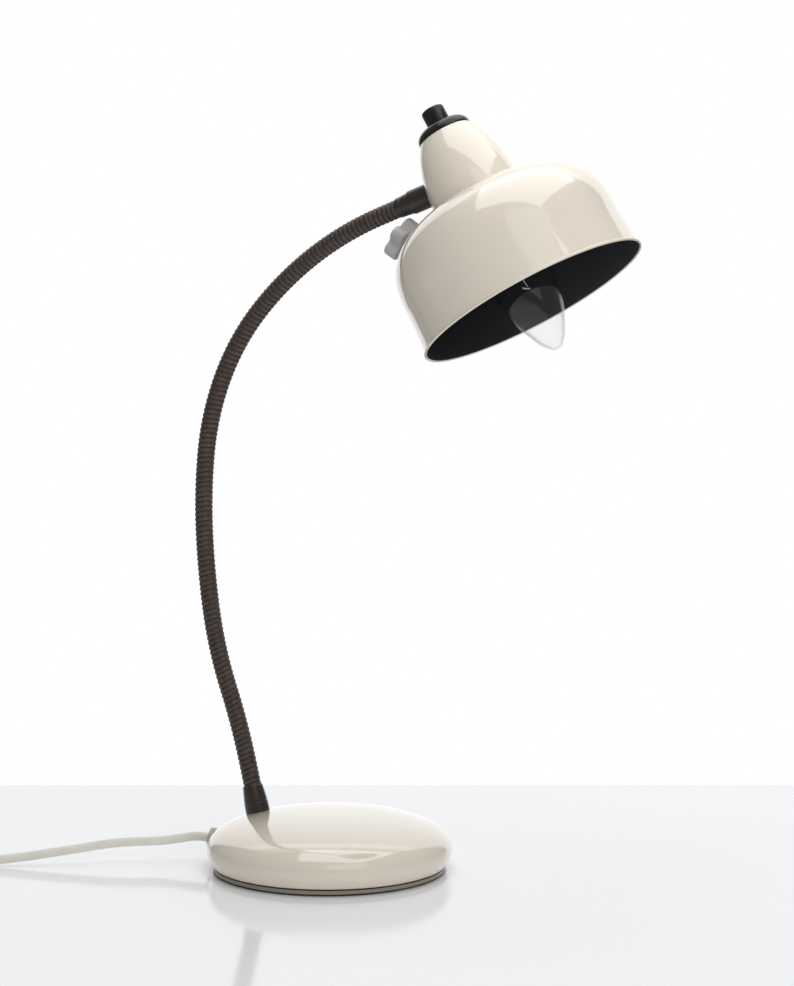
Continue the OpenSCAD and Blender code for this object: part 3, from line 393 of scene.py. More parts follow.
class Shader:
    """Builds the nodes of a material or a world, with its patterns on the Object coordinates."""

    def __init__(self, owner: Material | bpy.types.World) -> None:
        """Starts with an empty tree for a material or a world."""
        self.owner = owner
        owner.use_nodes = True
        self.tree = owner.node_tree
        self.tree.nodes.clear()

    @cached_property
    def coordinates(self) -> Socket:
        """The Object coordinates of the piece that has the material."""
        return self.node("ShaderNodeTexCoord").outputs["Object"]

    def node(self, kind: str, inputs: Mapping | None = None, **settings: object) -> bpy.types.Node:
        """Adds a node.

        Args:
            kind: The node's type.
            inputs: What goes into its sockets, by name or number: a value, a socket or a Value.
            **settings: Its settings, set before its inputs.

        Returns:
            The node.
        """
        node = self.tree.nodes.new(kind)
        for key, setting in settings.items():
            setattr(node, key, setting)
        for key, given in (inputs or {}).items():
            given = given.socket if isinstance(given, Value) else given
            if isinstance(given, Socket):
                self.tree.links.new(given, node.inputs[key])
            else:
                node.inputs[key].default_value = given
        return node

    def value(self, kind: str, inputs: Mapping, output: int | str = 0, **settings: object) -> Value:
        """Adds a node and wraps one of its outputs."""
        return Value(self, self.node(kind, inputs, **settings).outputs[output])

    def noise(self, per_metre: float, detail: float = 2, stretch: Triple | None = None) -> Value:
        """A cloudy pattern between 0 and 1.

        Args:
            per_metre: How many of its patches lie along a metre.
            detail: How many finer patterns are laid over it.
            stretch: Scale along X, Y and Z where the patches are long.

        Returns:
            The pattern.
        """
        place = self.coordinates
        if stretch is not None:
            place = self.node("ShaderNodeMapping", {"Vector": place, "Scale": stretch}).outputs[0]
        inputs = {"Vector": place, "Scale": per_metre, "Detail": detail}
        return self.value("ShaderNodeTexNoise", inputs, "Fac", noise_dimensions="3D")

    def between(self, pattern: Value, low: float, high: float) -> Value:
        """Spreads the part of a pattern between two levels over 0 to 1.

        Args:
            pattern: The pattern.
            low: The level that becomes 0.
            high: The level that becomes 1.

        Returns:
            The new pattern.
        """
        ramp = self.node("ShaderNodeValToRGB", {"Fac": pattern})
        for element, level in zip(ramp.color_ramp.elements, (low, high)):
            element.position = level
        return Value(self, ramp.outputs["Color"])

    def tint(self, mask: Value, none: Triple | Socket, full: Triple) -> Socket:
        """Mixes two colours.

        Args:
            mask: How much of the second colour shows.
            none: The colour where the mask is 0.
            full: The colour where the mask is 1.

        Returns:
            The mixed colour.
        """
        first = (*none, 1) if isinstance(none, tuple) else none
        inputs = {"Factor": mask, 6: first, 7: (*full, 1)}
        return self.node("ShaderNodeMix", inputs, data_type="RGBA").outputs[2]

    def bump(self, height: Value, depth: float) -> Socket:
        """Turns a height pattern, with a depth in metres, into a surface direction."""
        return self.node("ShaderNodeBump", {"Height": height, "Distance": depth}).outputs[0]

    def ended(self, surface: bpy.types.Node) -> Material:
        """Gives the material with a node as its surface."""
        self.node("ShaderNodeOutputMaterial", {"Surface": surface.outputs[0]})
        return self.owner

    def surface(self, inputs: Mapping) -> Material:
        """Gives the material with a Principled surface that has some inputs."""
        return self.ended(self.node("ShaderNodeBsdfPrincipled", inputs))


# Finishes


@dataclass(frozen=True)
class Finish:
    """A finish whose material is made once and shared by all its pieces."""

    name: str  # the material's name
    slot: str  # the record's material slot

    def material(self) -> Material:
        """Gives the finish's material, and makes it the first time."""
        made = bpy.data.materials.get(self.name)
        return made or self.build(Shader(bpy.data.materials.new(self.name)))

    def build(self, shader: Shader) -> Material:
        """Builds the material's nodes, which each kind of finish does in its own way."""
        raise NotImplementedError


@dataclass(frozen=True)
class Grained(Finish):
    """A finish of two colours in patches, with an uneven gloss and a fine grain."""

    colour: Triple  # its colour
    patch: Triple  # its colour where it clouds, dulls or is rubbed
    roughness: float = 0.4  # how blurred its reflections are
    grain: float = 0.00003  # depth of its grain, in metres
    grain_per_metre: float = 1500  # how fine the grain is

    patches_per_metre: ClassVar[float] = 90
    patch_detail: ClassVar[float] = 4
    patch_levels: ClassVar[tuple[float, float]] = (0.4, 0.7)  # where a patch begins and is full
    dulling: ClassVar[float] = 0.08  # how much rougher a patch is
    grain_detail: ClassVar[float] = 3
    grain_stretch: ClassVar[Triple | None] = None  # its scale along X, Y and Z

    def build(self, shader: Shader) -> Material:
        """Builds the surface from its patches and its grain.

        Args:
            shader: The material's builder.

        Returns:
            The material.
        """
        clouds = shader.noise(self.patches_per_metre, self.patch_detail)
        patches = shader.between(clouds, *self.patch_levels)
        grain = shader.noise(self.grain_per_metre, self.grain_detail, self.grain_stretch)
        inputs = {
            "Base Color": shader.tint(patches, self.colour, self.patch),
            "Roughness": self.roughness + self.dulling * patches,
            "Normal": shader.bump(grain, self.grain),
        }
        return shader.surface({**inputs, **self.gloss()})

    def gloss(self) -> dict[str, float]:
        """Gives the further inputs of its surface."""
        return {}


@dataclass(frozen=True)
class Paint(Grained):
    """An even gloss with soft clouding, for the table."""

    patches_per_metre: ClassVar[float] = 3
    patch_detail: ClassVar[float] = 2
    patch_levels: ClassVar[tuple[float, float]] = (0.0, 1.0)
    dulling: ClassVar[float] = 0.03
    grain_detail: ClassVar[float] = 2


@dataclass(frozen=True)
class Enamel(Paint):
    """Stoved gloss paint: a faint orange peel under a clear, even gloss, with hardly seen clouding."""

    roughness: float = 0.09
    grain: float = 0.00001
    grain_per_metre: float = 420
    coat: float = 1.0  # weight of the clear gloss over it
    coat_roughness: float = 0.04
    patches_per_metre: ClassVar[float] = 18
    patch_detail: ClassVar[float] = 3
    dulling: ClassVar[float] = 0.06

    def gloss(self) -> dict[str, float]:
        """Gives the clear gloss over the paint."""
        return {"Coat Weight": self.coat, "Coat Roughness": self.coat_roughness}


@dataclass(frozen=True)
class Plastic(Grained):
    """Moulded plastic or rubber: a fine grain and slightly uneven gloss."""

    shine: float = 0.5  # how strongly it mirrors, 0.5 is common plastic

    def gloss(self) -> dict[str, float]:
        """Gives the plastic's shine."""
        return {"Specular IOR Level": self.shine}


@dataclass(frozen=True)
class BareMetal(Grained):
    """Plain, plated or cast metal with dull patches and fine tool marks, long along its Z axis."""

    roughness: float = 0.3
    grain_per_metre: float = 900
    patches_per_metre: ClassVar[float] = 140
    patch_levels: ClassVar[tuple[float, float]] = (0.35, 0.75)
    dulling: ClassVar[float] = 0.15
    grain_stretch: ClassVar[Triple | None] = (1, 1, 0.12)

    def gloss(self) -> dict[str, float]:
        """Makes the surface a metal's."""
        return {"Metallic": 1.0}


@dataclass(frozen=True)
class Lacquer(Finish):
    """Brown lacquer over metal with painted shade in its grooves, and a dull copper on the ribs' crests that is
    partly wear and partly a painted glint.
    """

    groove_shade: Triple  # painted shade: the colour that stands in the grooves
    brown: Triple  # the lacquer's own colour, on the ribs out of the painted shade
    wear_and_glint_colour: Triple  # colour of the crests: partly wear to copper, partly a painted glint
    roughness: float = 0.34
    grain: float = 0.00003  # depth of its grime, in metres

    def build(self, shader: Shader) -> Material:
        """Builds the lacquer, with its painted groove shade and its crests of wear and painted glint, from the
        mesh's own crest attribute.

        Args:
            shader: The material's builder.

        Returns:
            The material.
        """
        crest = shader.value("ShaderNodeAttribute", {}, "Fac", attribute_name="crest")
        streaks = shader.between(shader.noise(260, 4), 0.42, 0.7)
        grime = shader.noise(700, 3)
        # painted shade: the grooves get the shaded colour, the ribs the lacquer's own
        lit = (crest * 1.15 - 0.15 * grime).clamped()
        # crests: partly wear to copper, partly a painted glint
        wear_and_glint = (crest * crest * streaks * 0.55).clamped()
        return shader.surface(
            {
                "Base Color": shader.tint(wear_and_glint, shader.tint(lit, self.groove_shade, self.brown), self.wear_and_glint_colour),
                "Metallic": 0.35 * wear_and_glint,
                "Roughness": self.roughness + 0.14 * grime + 0.2 * (1 - crest),
                "Normal": shader.bump(grime, self.grain),
            }
        )


@dataclass(frozen=True)
class ClearGlass(Finish):
    """Thin clear glass, which bends no light and mirrors more of it the more it is seen edge on."""

    colour: Triple = (0.992, 0.993, 0.995)  # what a face lets through
    facing_share: float = 0.03  # share of the light that it mirrors when seen from straight on

    def build(self, shader: Shader) -> Material:
        """Builds the glass.

        It mirrors s + (1 - s) e^5 of the light, with the facing share s and the edge-on share e.

        Args:
            shader: The material's builder.

        Returns:
            The material.
        """
        haze = shader.noise(60, 1)
        edge = shader.value("ShaderNodeLayerWeight", {"Blend": 0.5}, "Facing")
        mirrored = self.facing_share + (1 - self.facing_share) * (edge * edge * edge * edge * edge)
        clear = shader.node("ShaderNodeBsdfTransparent", {"Color": (*self.colour, 1)})
        gloss = shader.node("ShaderNodeBsdfGlossy", {"Roughness": 0.01 + 0.03 * haze})
        inputs = {0: mirrored, 1: clear.outputs[0], 2: gloss.outputs[0]}
        return shader.ended(shader.node("ShaderNodeMixShader", inputs))


class Finishes(Enum):
    """The lamp's finishes."""

    CREAM = Enamel("cream_enamel", "cream_paint", (0.79, 0.715, 0.60), (0.82, 0.745, 0.635))
    LINING = Enamel(
        "black_lining", "cream_paint", (0.016, 0.016, 0.02), (0.012, 0.012, 0.015), 0.55, 0.00005, coat=0.0
    )
    KHAKI = Enamel(
        "khaki_ring_paint", "khaki_paint", (0.26, 0.23, 0.185), (0.30, 0.27, 0.215), 0.3, 0.00003, coat=0.2
    )
    FERRULE = Enamel(
        "brown_ferrule_paint",
        "brown_ferrule",
        (0.030, 0.021, 0.016),
        (0.020, 0.014, 0.011),
        0.28,
        0.00004,
        coat=0.15,
    )
    # its second colour is painted shade in the grooves, its last partly wear and partly a painted glint
    HOSE = Lacquer(
        "brown_hose_lacquer", "brown_hose", (0.010, 0.007, 0.006), (0.050, 0.034, 0.026), (0.16, 0.105, 0.075)
    )
    BLACK_GLOSS = Plastic(
        "black_gloss_plastic",
        "black_gloss",
        (0.008, 0.008, 0.009),
        (0.014, 0.014, 0.014),
        0.16,
        0.000008,
        700,
        0.4,
    )
    BLACK = Plastic(
        "moulded_black_plastic", "black_plastic", (0.018, 0.018, 0.018), (0.026, 0.026, 0.026), 0.42
    )
    KNOB = Plastic("grey_knob_plastic", "grey_plastic", (0.46, 0.46, 0.455), (0.52, 0.52, 0.515), 0.42)
    GROMMET = Plastic("grey_grommet_plastic", "grey_grommet", (0.52, 0.50, 0.45), (0.45, 0.43, 0.38), 0.45)
    IVORY = Plastic(
        "ivory_cord_sheath", "ivory_cord", (0.80, 0.77, 0.69), (0.75, 0.72, 0.64), 0.38, 0.00004, 900
    )
    WHITE = Plastic("moulded_white_plastic", "white_plastic", (0.74, 0.74, 0.71), (0.66, 0.66, 0.62), 0.45)
    SHEATH = Plastic("pale_lead_sheath", "lead_sheath", (0.6, 0.6, 0.58), (0.52, 0.52, 0.5), 0.5)
    PAD = Plastic("soft_pad_rubber", "pad_rubber", (0.02, 0.02, 0.02), (0.04, 0.04, 0.038), 0.8, 0.0001, 2200)
    ZINC = BareMetal("zinc_plated_steel", "zinc_steel", (0.62, 0.62, 0.60), (0.42, 0.42, 0.40))
    NICKEL = BareMetal("nickel_plate", "plated_pins", (0.72, 0.70, 0.66), (0.6, 0.58, 0.54), 0.16, 0.00001)
    BRASS = BareMetal("plain_brass", "brass", (0.76, 0.58, 0.28), (0.52, 0.38, 0.18), 0.26)
    IRON = BareMetal("cast_iron", "iron", (0.11, 0.105, 0.10), (0.07, 0.065, 0.06), 0.6, 0.0002, 1200)
    GLASS = ClearGlass("blown_clear_glass", "clear_glass")


TABLE = Paint("white_table_gloss", "", (0.93, 0.94, 0.965), (0.95, 0.96, 0.98), 0.08, 0.00002, 60)


def in_scene(name: str, data: bpy.types.ID) -> bpy.types.Object:
    """Puts an object into the scene, at the origin.

    Args:
        name: The object's name.
        data: Its mesh, light or camera.

    Returns:
        The object.
    """
    thing = bpy.data.objects.new(name, data)
    bpy.context.scene.collection.objects.link(thing)
    return thing


def new_object(name: str, mesh: Mesh, finish: Finishes) -> bpy.types.Object:
    """Makes an object at the origin from a mesh and a finish.

    Args:
        name: The object's name, which its mesh gets too.
        mesh: Its mesh, in the lamp's frame.
        finish: Its finish.

    Returns:
        The object.
    """
    mesh.name = name
    mesh.materials.append(finish.value.material())
    thing = in_scene(name, mesh)
    LOG.info("%s: %d faces, %s", name, len(mesh.polygons), finish.value.name)
    return thing


def add_piece(name: str, mesh: Mesh, finish: Finishes, body: str, *nodes: str) -> bpy.types.Object:
    """Puts a finished mesh into the scene as a piece of the lamp.

    Args:
        name: The piece's name.
        mesh: Its mesh, in the lamp's frame.
        finish: Its finish.
        body: The body that it moves with.
        *nodes: The frame's nodes that it replaces.

    Returns:
        The piece.
    """
    piece = new_object(name, mesh, finish)
    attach(piece, body)
    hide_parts(*nodes)
    return piece


# The studio


@dataclass(frozen=True)
class Softbox:
    """A flat rectangular light that the camera doesn't see, with its sizes in metres."""

    name: str
    centre: Triple
    target: Triple  # the point that it faces
    width: float  # its level side
    height: float  # its other side
    radiance: float  # how bright its face is, where the white background is 1
    leaning: float = 0.0  # how far it is turned about its own direction, in degrees
    mirrored: bool = True  # whether it shows in glossy surfaces

    def build(self) -> None:
        """Makes the light, whose power is its brightness times pi times its area."""
        light = bpy.data.lights.new(self.name, "AREA")
        light.shape = "RECTANGLE"
        light.size = self.width
        light.size_y = self.height
        light.energy = self.radiance * math.pi * self.width * self.height
        thing = in_scene(self.name, light)
        thing.visible_camera = False
        thing.visible_glossy = self.mirrored
        gaze = unit(np.subtract(self.target, self.centre))
        level = unit(np.cross(gaze, [0.0, 0.0, 1.0]))
        lean = math.radians(self.leaning)
        side = math.cos(lean) * level + math.sin(lean) * np.cross(level, gaze)
        matrix = np.eye(4)
        matrix[:3] = np.column_stack([side, np.cross(-gaze, side), -gaze, self.centre])
        thing.matrix_world = Matrix(matrix.tolist())


@dataclass(frozen=True)
class Studio:
    """The photograph's camera, its white room, its soft boxes and its glossy white table, in metres."""

    eye: Triple = (0.5847, -1.1611, 0.3010)  # where the camera is
    heading: float = 25.03  # its direction on the floor, in degrees from +Y towards -X
    pitch: float = 3.77  # how far it looks down, in degrees
    film: float = 36  # height of its picture, in millimetres
    lens: float = 83.98  # its focal length, in millimetres
    table_back: float = 1.548  # level distance from the camera to the table's back edge
    table_near: float = 1.5  # how far the table reaches past the camera's place
    table_half: float = 3.0  # half of the table's width
    table_gap: float = 0.00015  # how far its top lies below the lamp
    background: float = 1.0  # brightness of the room where the camera sees it
    fill: float = 0.25  # brightness of the room in everything else
    boxes: tuple[Softbox, ...] = (
        Softbox("back_wall", (-0.9, 2.2, 1.3), (0.0, 0.0, 0.2), 4.4, 3.8, 0.82),
        Softbox("upper_wall", (-0.7, 1.7, 3.6), (0.0, 0.0, 0.2), 5.0, 1.5, 0.55),
        Softbox("top_box", (0.16, -0.02, 1.0), (0.10, 0.04, 0.1), 0.85, 0.85, 1.9, leaning=-33.0),
        Softbox("front_box", (1.05, -1.1, 1.05), (0.13, 0.0, 0.35), 1.1, 1.1, 0.65),
        Softbox("front_fill", (1.5, -1.5, 0.8), (0.1, 0.0, 0.3), 1.6, 1.4, 1.7, mirrored=False),
    )

    def place_camera(self) -> None:
        """Makes the camera, fitted to the photograph's outlines."""
        camera = bpy.data.cameras.new("photo_camera")
        camera.sensor_fit = "VERTICAL"
        camera.sensor_height = self.film
        camera.lens = self.lens
        thing = in_scene("photo_camera", camera)
        thing.location = self.eye
        thing.rotation_euler = (math.radians(90 - self.pitch), 0, math.radians(self.heading))
        bpy.context.scene.camera = thing

    def paint_room(self) -> None:
        """Makes the room: one brightness where the camera sees it, another for all its light."""
        bpy.context.scene.view_settings.view_transform = "Standard"
        room = Shader(bpy.data.worlds.new("white_room"))
        bpy.context.scene.world = room.owner
        seen = room.node("ShaderNodeLightPath").outputs["Is Camera Ray"]
        inputs = {"Value": seen, "To Min": self.fill, "To Max": self.background}
        level = room.value("ShaderNodeMapRange", inputs)
        light = room.value("ShaderNodeBackground", {"Color": (1.0, 1.0, 1.0, 1), "Strength": level})
        room.node("ShaderNodeOutputWorld", {"Surface": light})

    def lay_table(self) -> None:
        """Makes the table's top, whose back edge lies level across the camera's view."""
        turn = math.radians(self.heading)
        ahead = np.array([-math.sin(turn), math.cos(turn), 0.0])
        across = np.array([math.cos(turn), math.sin(turn), 0.0])
        foot = np.array([self.eye[0], self.eye[1], -self.table_gap])
        ends = foot + np.array([[-self.table_near], [self.table_back]]) * ahead
        sides = np.array([[-self.table_half], [self.table_half]]) * across
        mesh = mesh_from_grid(ends[:, None] + sides, close_rows=False, close_columns=False)
        mesh.name = "table_top"
        mesh.materials.append(TABLE.material())
        table = in_scene("table_top", mesh)

    def build(self) -> None:
        """Makes the lights, the room and the table."""
        for box in self.boxes:
            box.build()
        self.paint_room()
        self.lay_table()


# Base


@dataclass(frozen=True)
class Base:
    """The weighted foot: enamelled dome and the ferrule that the arm grows from."""

    radius: float = 70  # radius of the dome
    widest: float = 12  # height at which it is widest
    top: float = 33  # its height
    fullness: float = 2.33  # how square its outline is, 2 for an ellipse
    edge: float = 4.1  # height of its lower edge
    tuck: float = 2.7  # how far that edge is drawn in
    wall: float = 1.5  # thickness of its sheet
    ferrule_radius: float = 7  # radius of the foot ferrule where it stands on the dome
    ferrule_top: float = 5.7  # its radius at its upper end
    ferrule_length: float = 16
    ferrule_bore: float = 3.0  # radius of its bore
    ferrule_sunk: float = 0.8  # how deep it reaches into the dome
    ferrule_groove: float = 6.1  # height of the groove round it
    stub: float = 12  # length of hose between the ferrule and the first hinge

    def radius_at(self, height: float) -> float:
        """The dome's radius at a height above its widest line."""
        rise = (height - self.widest) / (self.top - self.widest)
        return self.radius * (1 - rise**self.fullness) ** (1 / self.fullness)

    def dome_outline(self) -> Array:
        """The dome's outer side, in metres, from its lower edge to its middle.

        Below the widest line the radius is the dome's less tuck (1 - f)^2 at a share f of the way.

        Returns:
            One row of radius and height for each point.
        """
        f = np.linspace(0, 1, 9)[:-1]
        height = self.edge + f * (self.widest - self.edge)
        below = np.column_stack([self.radius - self.tuck * (1 - f) ** 2, height])
        quarter = np.linspace(0, math.pi / 2, 80)
        above = oval(self.radius, self.top - self.widest, self.fullness, quarter) + [0, self.widest]
        return np.concatenate([below, above]) * MM

    def build(self) -> None:
        """Makes the dome and the ferrule."""
        dome = revolve(sheet_outline(self.dome_outline(), self.wall * MM), FLOOR_PLACE, 192)
        add_piece("enamel_dome", dome, Finishes.CREAM, "base", "base_shell")
        arm = Gooseneck()
        axis = arm.direction(0)
        seat = arm.joints()[0] - (self.ferrule_length + self.stub) * MM * axis
        low, high, long = self.ferrule_radius, self.ferrule_top, self.ferrule_length
        bore, foot, groove = self.ferrule_bore, -self.ferrule_sunk, self.ferrule_groove
        corners = [(bore, foot, 0), (low, foot, 0), (low, 0.6, 0.2), (low - 0.12, groove, 0.2)]
        corners += [(low - 0.42, groove + 0.2, 0.1), (low - 0.45, groove + 0.6, 0.1)]
        corners += [(low - 0.2, groove + 0.8, 0.2), (high + 0.03, long - 0.4, 0.4)]
        corners += [(high - 0.4, long, 0.2), (bore, long, 0)]
        sleeve = revolve(rounded(corners), upright(seat, axis), 64)
        add_piece("foot_sleeve", sleeve, Finishes.FERRULE, "base", "foot_ferrule")


# Arm


@dataclass(frozen=True)
class Gooseneck:
    """The wound hose between the ferrules, in pieces, one across each hinge."""

    lean: float = 103  # direction in which the arm leaves the base, in degrees from +X
    bends: tuple[float, ...] = (6.5, -11, -6, -8.5, -17, -19, -14, -14)  # each link's, in degrees
    link: float = 46  # length of a link between two hinges
    stub: float = 12  # length of hose before the first hinge and after the last
    pitch: float = 2.875  # distance between two ribs
    crest: float = 5.2  # radius of the ribs
    groove: float = 4.6  # radius of the grooves
    bore: float = 2.75  # radius of the bore
    blend_reach: float = 20  # how far the span worked out round a hinge reaches from it
    blend_margin: float = 2  # length at a piece's end that this span leaves out
    rows: int = 10  # points along one rib
    sides: int = 40  # points round the hose

    def joints(self) -> Array:
        """The places of the hinges, from the base to the head."""
        names = [f"arm_{'swing' if k % 2 else 'bend'}_{k + 1}" for k in range(len(self.bends) + 1)]
        return np.array([joint_vector(name, "pos_m") for name in names])

    def headings(self) -> Array:
        """The arm's direction at each hinge, in radians from +X."""
        return np.radians(self.lean + np.concatenate([[0], np.cumsum(self.bends)]))

    def direction(self, hinge: int) -> Array:
        """The arm's direction at one hinge, as a unit vector."""
        heading = self.headings()[hinge]
        return np.array([math.cos(heading), 0.0, math.sin(heading)])

    def line(self, distance: Array) -> tuple[Array, Array]:
        """Follows the middle of the hose.

        A link is an arc: from its start, with heading h and curvature c, the point after a
        distance s is (sin(h + cs) - sin h) / c along X and -(cos(h + cs) - cos h) / c up.

        Args:
            distance: Distances along the hose from the first hinge, in millimetres.

        Returns:
            The points in metres, and the headings there.
        """
        hinge = np.clip(np.floor(distance / self.link).astype(int), -1, len(self.bends))
        start = np.clip(hinge, 0, len(self.bends))
        curvature = np.radians(np.array([*self.bends, 0.0, 0.0])) / self.link
        c = np.where(np.abs(curvature[hinge]) < 1e-6, 1e-6, curvature[hinge])
        h = self.headings()[start]
        heading = h + c * (distance - start * self.link)
        along = (np.sin(heading) - np.sin(h)) / c
        up = (np.cos(h) - np.cos(heading)) / c
        return self.joints()[start] + np.column_stack([along, 0 * along, up]) * MM, heading

    def surface(self, distance: Array, radius: Array, angle: Array) -> Array:
        """Places rings round the hose.

        Args:
            distance: One distance along the hose for each ring.
            radius: The radius for each ring and angle, in millimetres.
            angle: The angles round the hose.

        Returns:
            A grid of points in the lamp's frame.
        """
        centre, heading = self.line(distance)
        inward = np.column_stack([-np.sin(heading), 0 * heading, np.cos(heading)])
        across = np.array([[0.0, -1.0, 0.0]])
        return centre[:, None] + radius[..., None] * MM * ring(angle, inward, across)

    def piece(self, start: float, end: float) -> Mesh:
        """Makes a length of hose.

        The rib is a screw: its phase u is the fraction of distance / pitch - angle / 360 degrees,
        and its height is sin(180 u)^0.7.

        Args:
            start: Distance along the hose where it starts.
            end: Where it ends.

        Returns:
            The closed mesh, with its crest attribute.
        """
        angle = angles(self.sides)
        ribs = (end - start) / self.pitch
        outer = np.linspace(start, end, round(ribs * self.rows) + 1)
        inner = np.linspace(end, start, round(ribs) + 1)
        phase = (outer[:, None] / self.pitch - angle / TURN) % 1
        crest = np.sin(math.pi * phase) ** 0.7
        wall = self.surface(outer, self.groove + (self.crest - self.groove) * crest, angle)
        bore = self.surface(inner, np.full((len(inner), self.sides), self.bore), angle)
        mesh = mesh_from_grid(np.concatenate([wall, bore]), close_rows=True, sharp=60)
        layer = mesh.attributes.new("crest", "FLOAT", "POINT")
        values = np.concatenate([crest.ravel(), np.zeros(bore[..., 0].size)])
        layer.data.foreach_set("value", values.astype(np.float32))
        return mesh

    def build(self) -> None:
        """Makes the pieces of hose, one across each hinge, cut halfway along the links."""
        hinges = len(self.bends) + 1
        last = self.link * len(self.bends)
        cuts = [-self.stub, *(self.link * (k + 0.5) for k in range(hinges - 1)), last + self.stub]
        nodes = ["arm_root", *(f"arm_link_{k}" for k in range(1, hinges)), "arm_tip"]
        for k in range(hinges):
            thing = new_object(f"hose_{k + 1}", self.piece(cuts[k], cuts[k + 1]), Finishes.HOSE)
            middle = self.link * k
            before = min(self.blend_reach, middle - cuts[k] - self.blend_margin)
            after = min(self.blend_reach, cuts[k + 1] - middle - self.blend_margin)
            ends, _ = self.line(np.array([middle - before, middle + after]))
            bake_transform(thing)
            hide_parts(*(nodes[k : k + 2] if k else nodes[:1]))
        LOG.info("gooseneck: %d pieces over %.0f mm", hinges, last + 2 * self.stub)


# Head


@dataclass(frozen=True)
class Shade:
    """The enamelled bell shade, its black lining and its neck."""

    rim: float = 66  # radius of the rim
    side: float = 63.8  # radius where the side begins to round in
    side_height: float = 25  # height of that place
    rise: float = 42.70  # height of the rounding's full oval
    fullness: float = 2.85  # how square the rounding is
    crease: float = 66.6  # height of the crease between shade and neck
    neck: float = 25.3  # radius of the neck there
    bead: float = 0.75  # radius of the rolled rim
    wall: float = 1.0  # thickness of the sheet
    skin_share: float = 0.55  # share of it that is the cream skin
    lining_share: float = 0.4  # share of it that is the black lining
    lining_gap: float = 0.02  # clearance between the two
    opening: float = 21  # radius of the opening under the neck
    neck_top: float = 105.3  # height of the neck's upper edge
    neck_top_radius: float = 15.5  # the neck's radius there
    neck_opening: float = 10  # radius of the opening in the neck's top
    neck_curve: float = 48.97  # height of the neck's full ellipse
    segments: int = 192  # steps of a turn

    def outline(self) -> Array:
        """The shade's outer side, in metres, from its rim to its opening.

        Up to the side's height h the radius is side + flare (1 - z/h)^1.5, and a full oval follows.

        Returns:
            One row of radius and height for each point.
        """
        end = math.acos((self.neck / self.side) ** (self.fullness / 2))
        low = np.linspace(self.bead, self.side_height, 16)[:-1]
        flare = (self.rim - self.bead - self.side) * (1 - low / self.side_height) ** 1.5
        straight = np.column_stack([self.side + flare, low])
        curve = oval(self.side, self.rise, self.fullness, np.linspace(0, end, 72))
        flange = np.linspace((self.neck - 0.6, self.crease), (self.opening, self.crease), 5)
        return np.concatenate([straight, curve + [0, self.side_height], flange]) * MM

    def neck_outline(self) -> Array:
        """The neck's outer side, in metres: the ellipse neck (1 - (z/curve)^2)^0.5 and a flat top.

        Returns:
            One row of radius and height for each point.
        """
        height = np.linspace(0.5, self.neck_top - self.crease, 48)
        radius = self.neck * np.sqrt(1 - (height / self.neck_curve) ** 2)
        wall = np.column_stack([radius, self.crease + height])
        edge = (self.neck_top_radius - 0.5, self.neck_top)
        top = np.linspace(edge, (self.neck_opening, self.neck_top), 4)
        return np.concatenate([wall, top]) * MM

    def build(self) -> None:
        """Makes the shade's skin with its bead, its lining and the neck."""
        head = head_place()
        outline = self.outline()
        skin_wall = self.skin_share * self.wall * MM
        skin = revolve(sheet_outline(outline, skin_wall), head, self.segments)
        circle = np.column_stack([np.cos(angles(20)), np.sin(angles(20))])
        bead_outline = (circle * self.bead + [self.rim - self.bead, self.bead]) * MM
        bead = revolve(bead_outline, head, self.segments)
        add_piece("shade_skin", joined([skin, bead]), Finishes.CREAM, "head", "shade")
        inside = moved_in(outline, skin_wall + self.lining_gap * MM)
        lining = sheet_outline(inside, self.lining_share * self.wall * MM)
        lining_mesh = revolve(lining, head, self.segments)
        add_piece("shade_lining", lining_mesh, Finishes.LINING, "head", "shade")
        neck = revolve(sheet_outline(self.neck_outline(), self.wall * MM), head, 128)
        add_piece("shade_neck", neck, Finishes.CREAM, "head", "neck_cover")


@dataclass(frozen=True)
class Switch:
    """The black collar on the neck, with its push button."""

    foot: float = 105.3  # height of the neck's upper edge
    radius: float = 15.5  # radius of the collar
    height: float = 6.5  # its height
    rim: float = 1.0  # height of its straight rim
    bore: float = 9.2  # radius of its bore
    floor: float = 4.2  # height of the recess round the button
    top_radius: float = 8.7  # radius of the collar's upper end
    button_radius: float = 6.6
    button_gap: float = 0.15  # clearance round the button
    button_foot: float = 3.6  # height of the button's lower face
    button_rise: float = 10.2  # how far the button stands out of the collar
    button_dish: float = 0.25  # depth of the hollow in its face

    def build(self) -> None:
        """Makes the collar, a rim with a rounded dome on it, and the button."""
        head = head_place()
        side = [[self.bore, 0.05], [self.radius - 0.3, 0.05], [self.radius, 0.3], [self.radius, self.rim]]
        t = np.linspace(0, math.pi / 2, 25)
        dome = oval(self.radius - self.top_radius, self.height - self.rim, 2, t)
        lip = self.button_radius + self.button_gap
        inner = [[lip + 0.3, self.height], [lip, self.height - 0.3], [lip, self.floor]]
        inner.append([self.bore, self.floor])
        outline = np.concatenate([side, dome + [self.top_radius, self.rim], inner]) + [0, self.foot]
        collar = revolve(outline * MM, head)
        add_piece("switch_collar", collar, Finishes.BLACK_GLOSS, "head", "holder_collar")
        low, top = self.foot + self.button_foot, self.foot + self.height + self.button_rise
        width, dish = self.button_radius, top - self.button_dish
        corners = [(0, low, 0), (width, low, 0.2), (width, top, 1.6), (width - 2.4, top, 0.6)]
        corners += [(width - 3.2, dish, 0.6), (0, dish, 0)]
        button = revolve(rounded(corners), head)
        add_piece("switch_button", button, Finishes.BLACK_GLOSS, "button", "push_button")


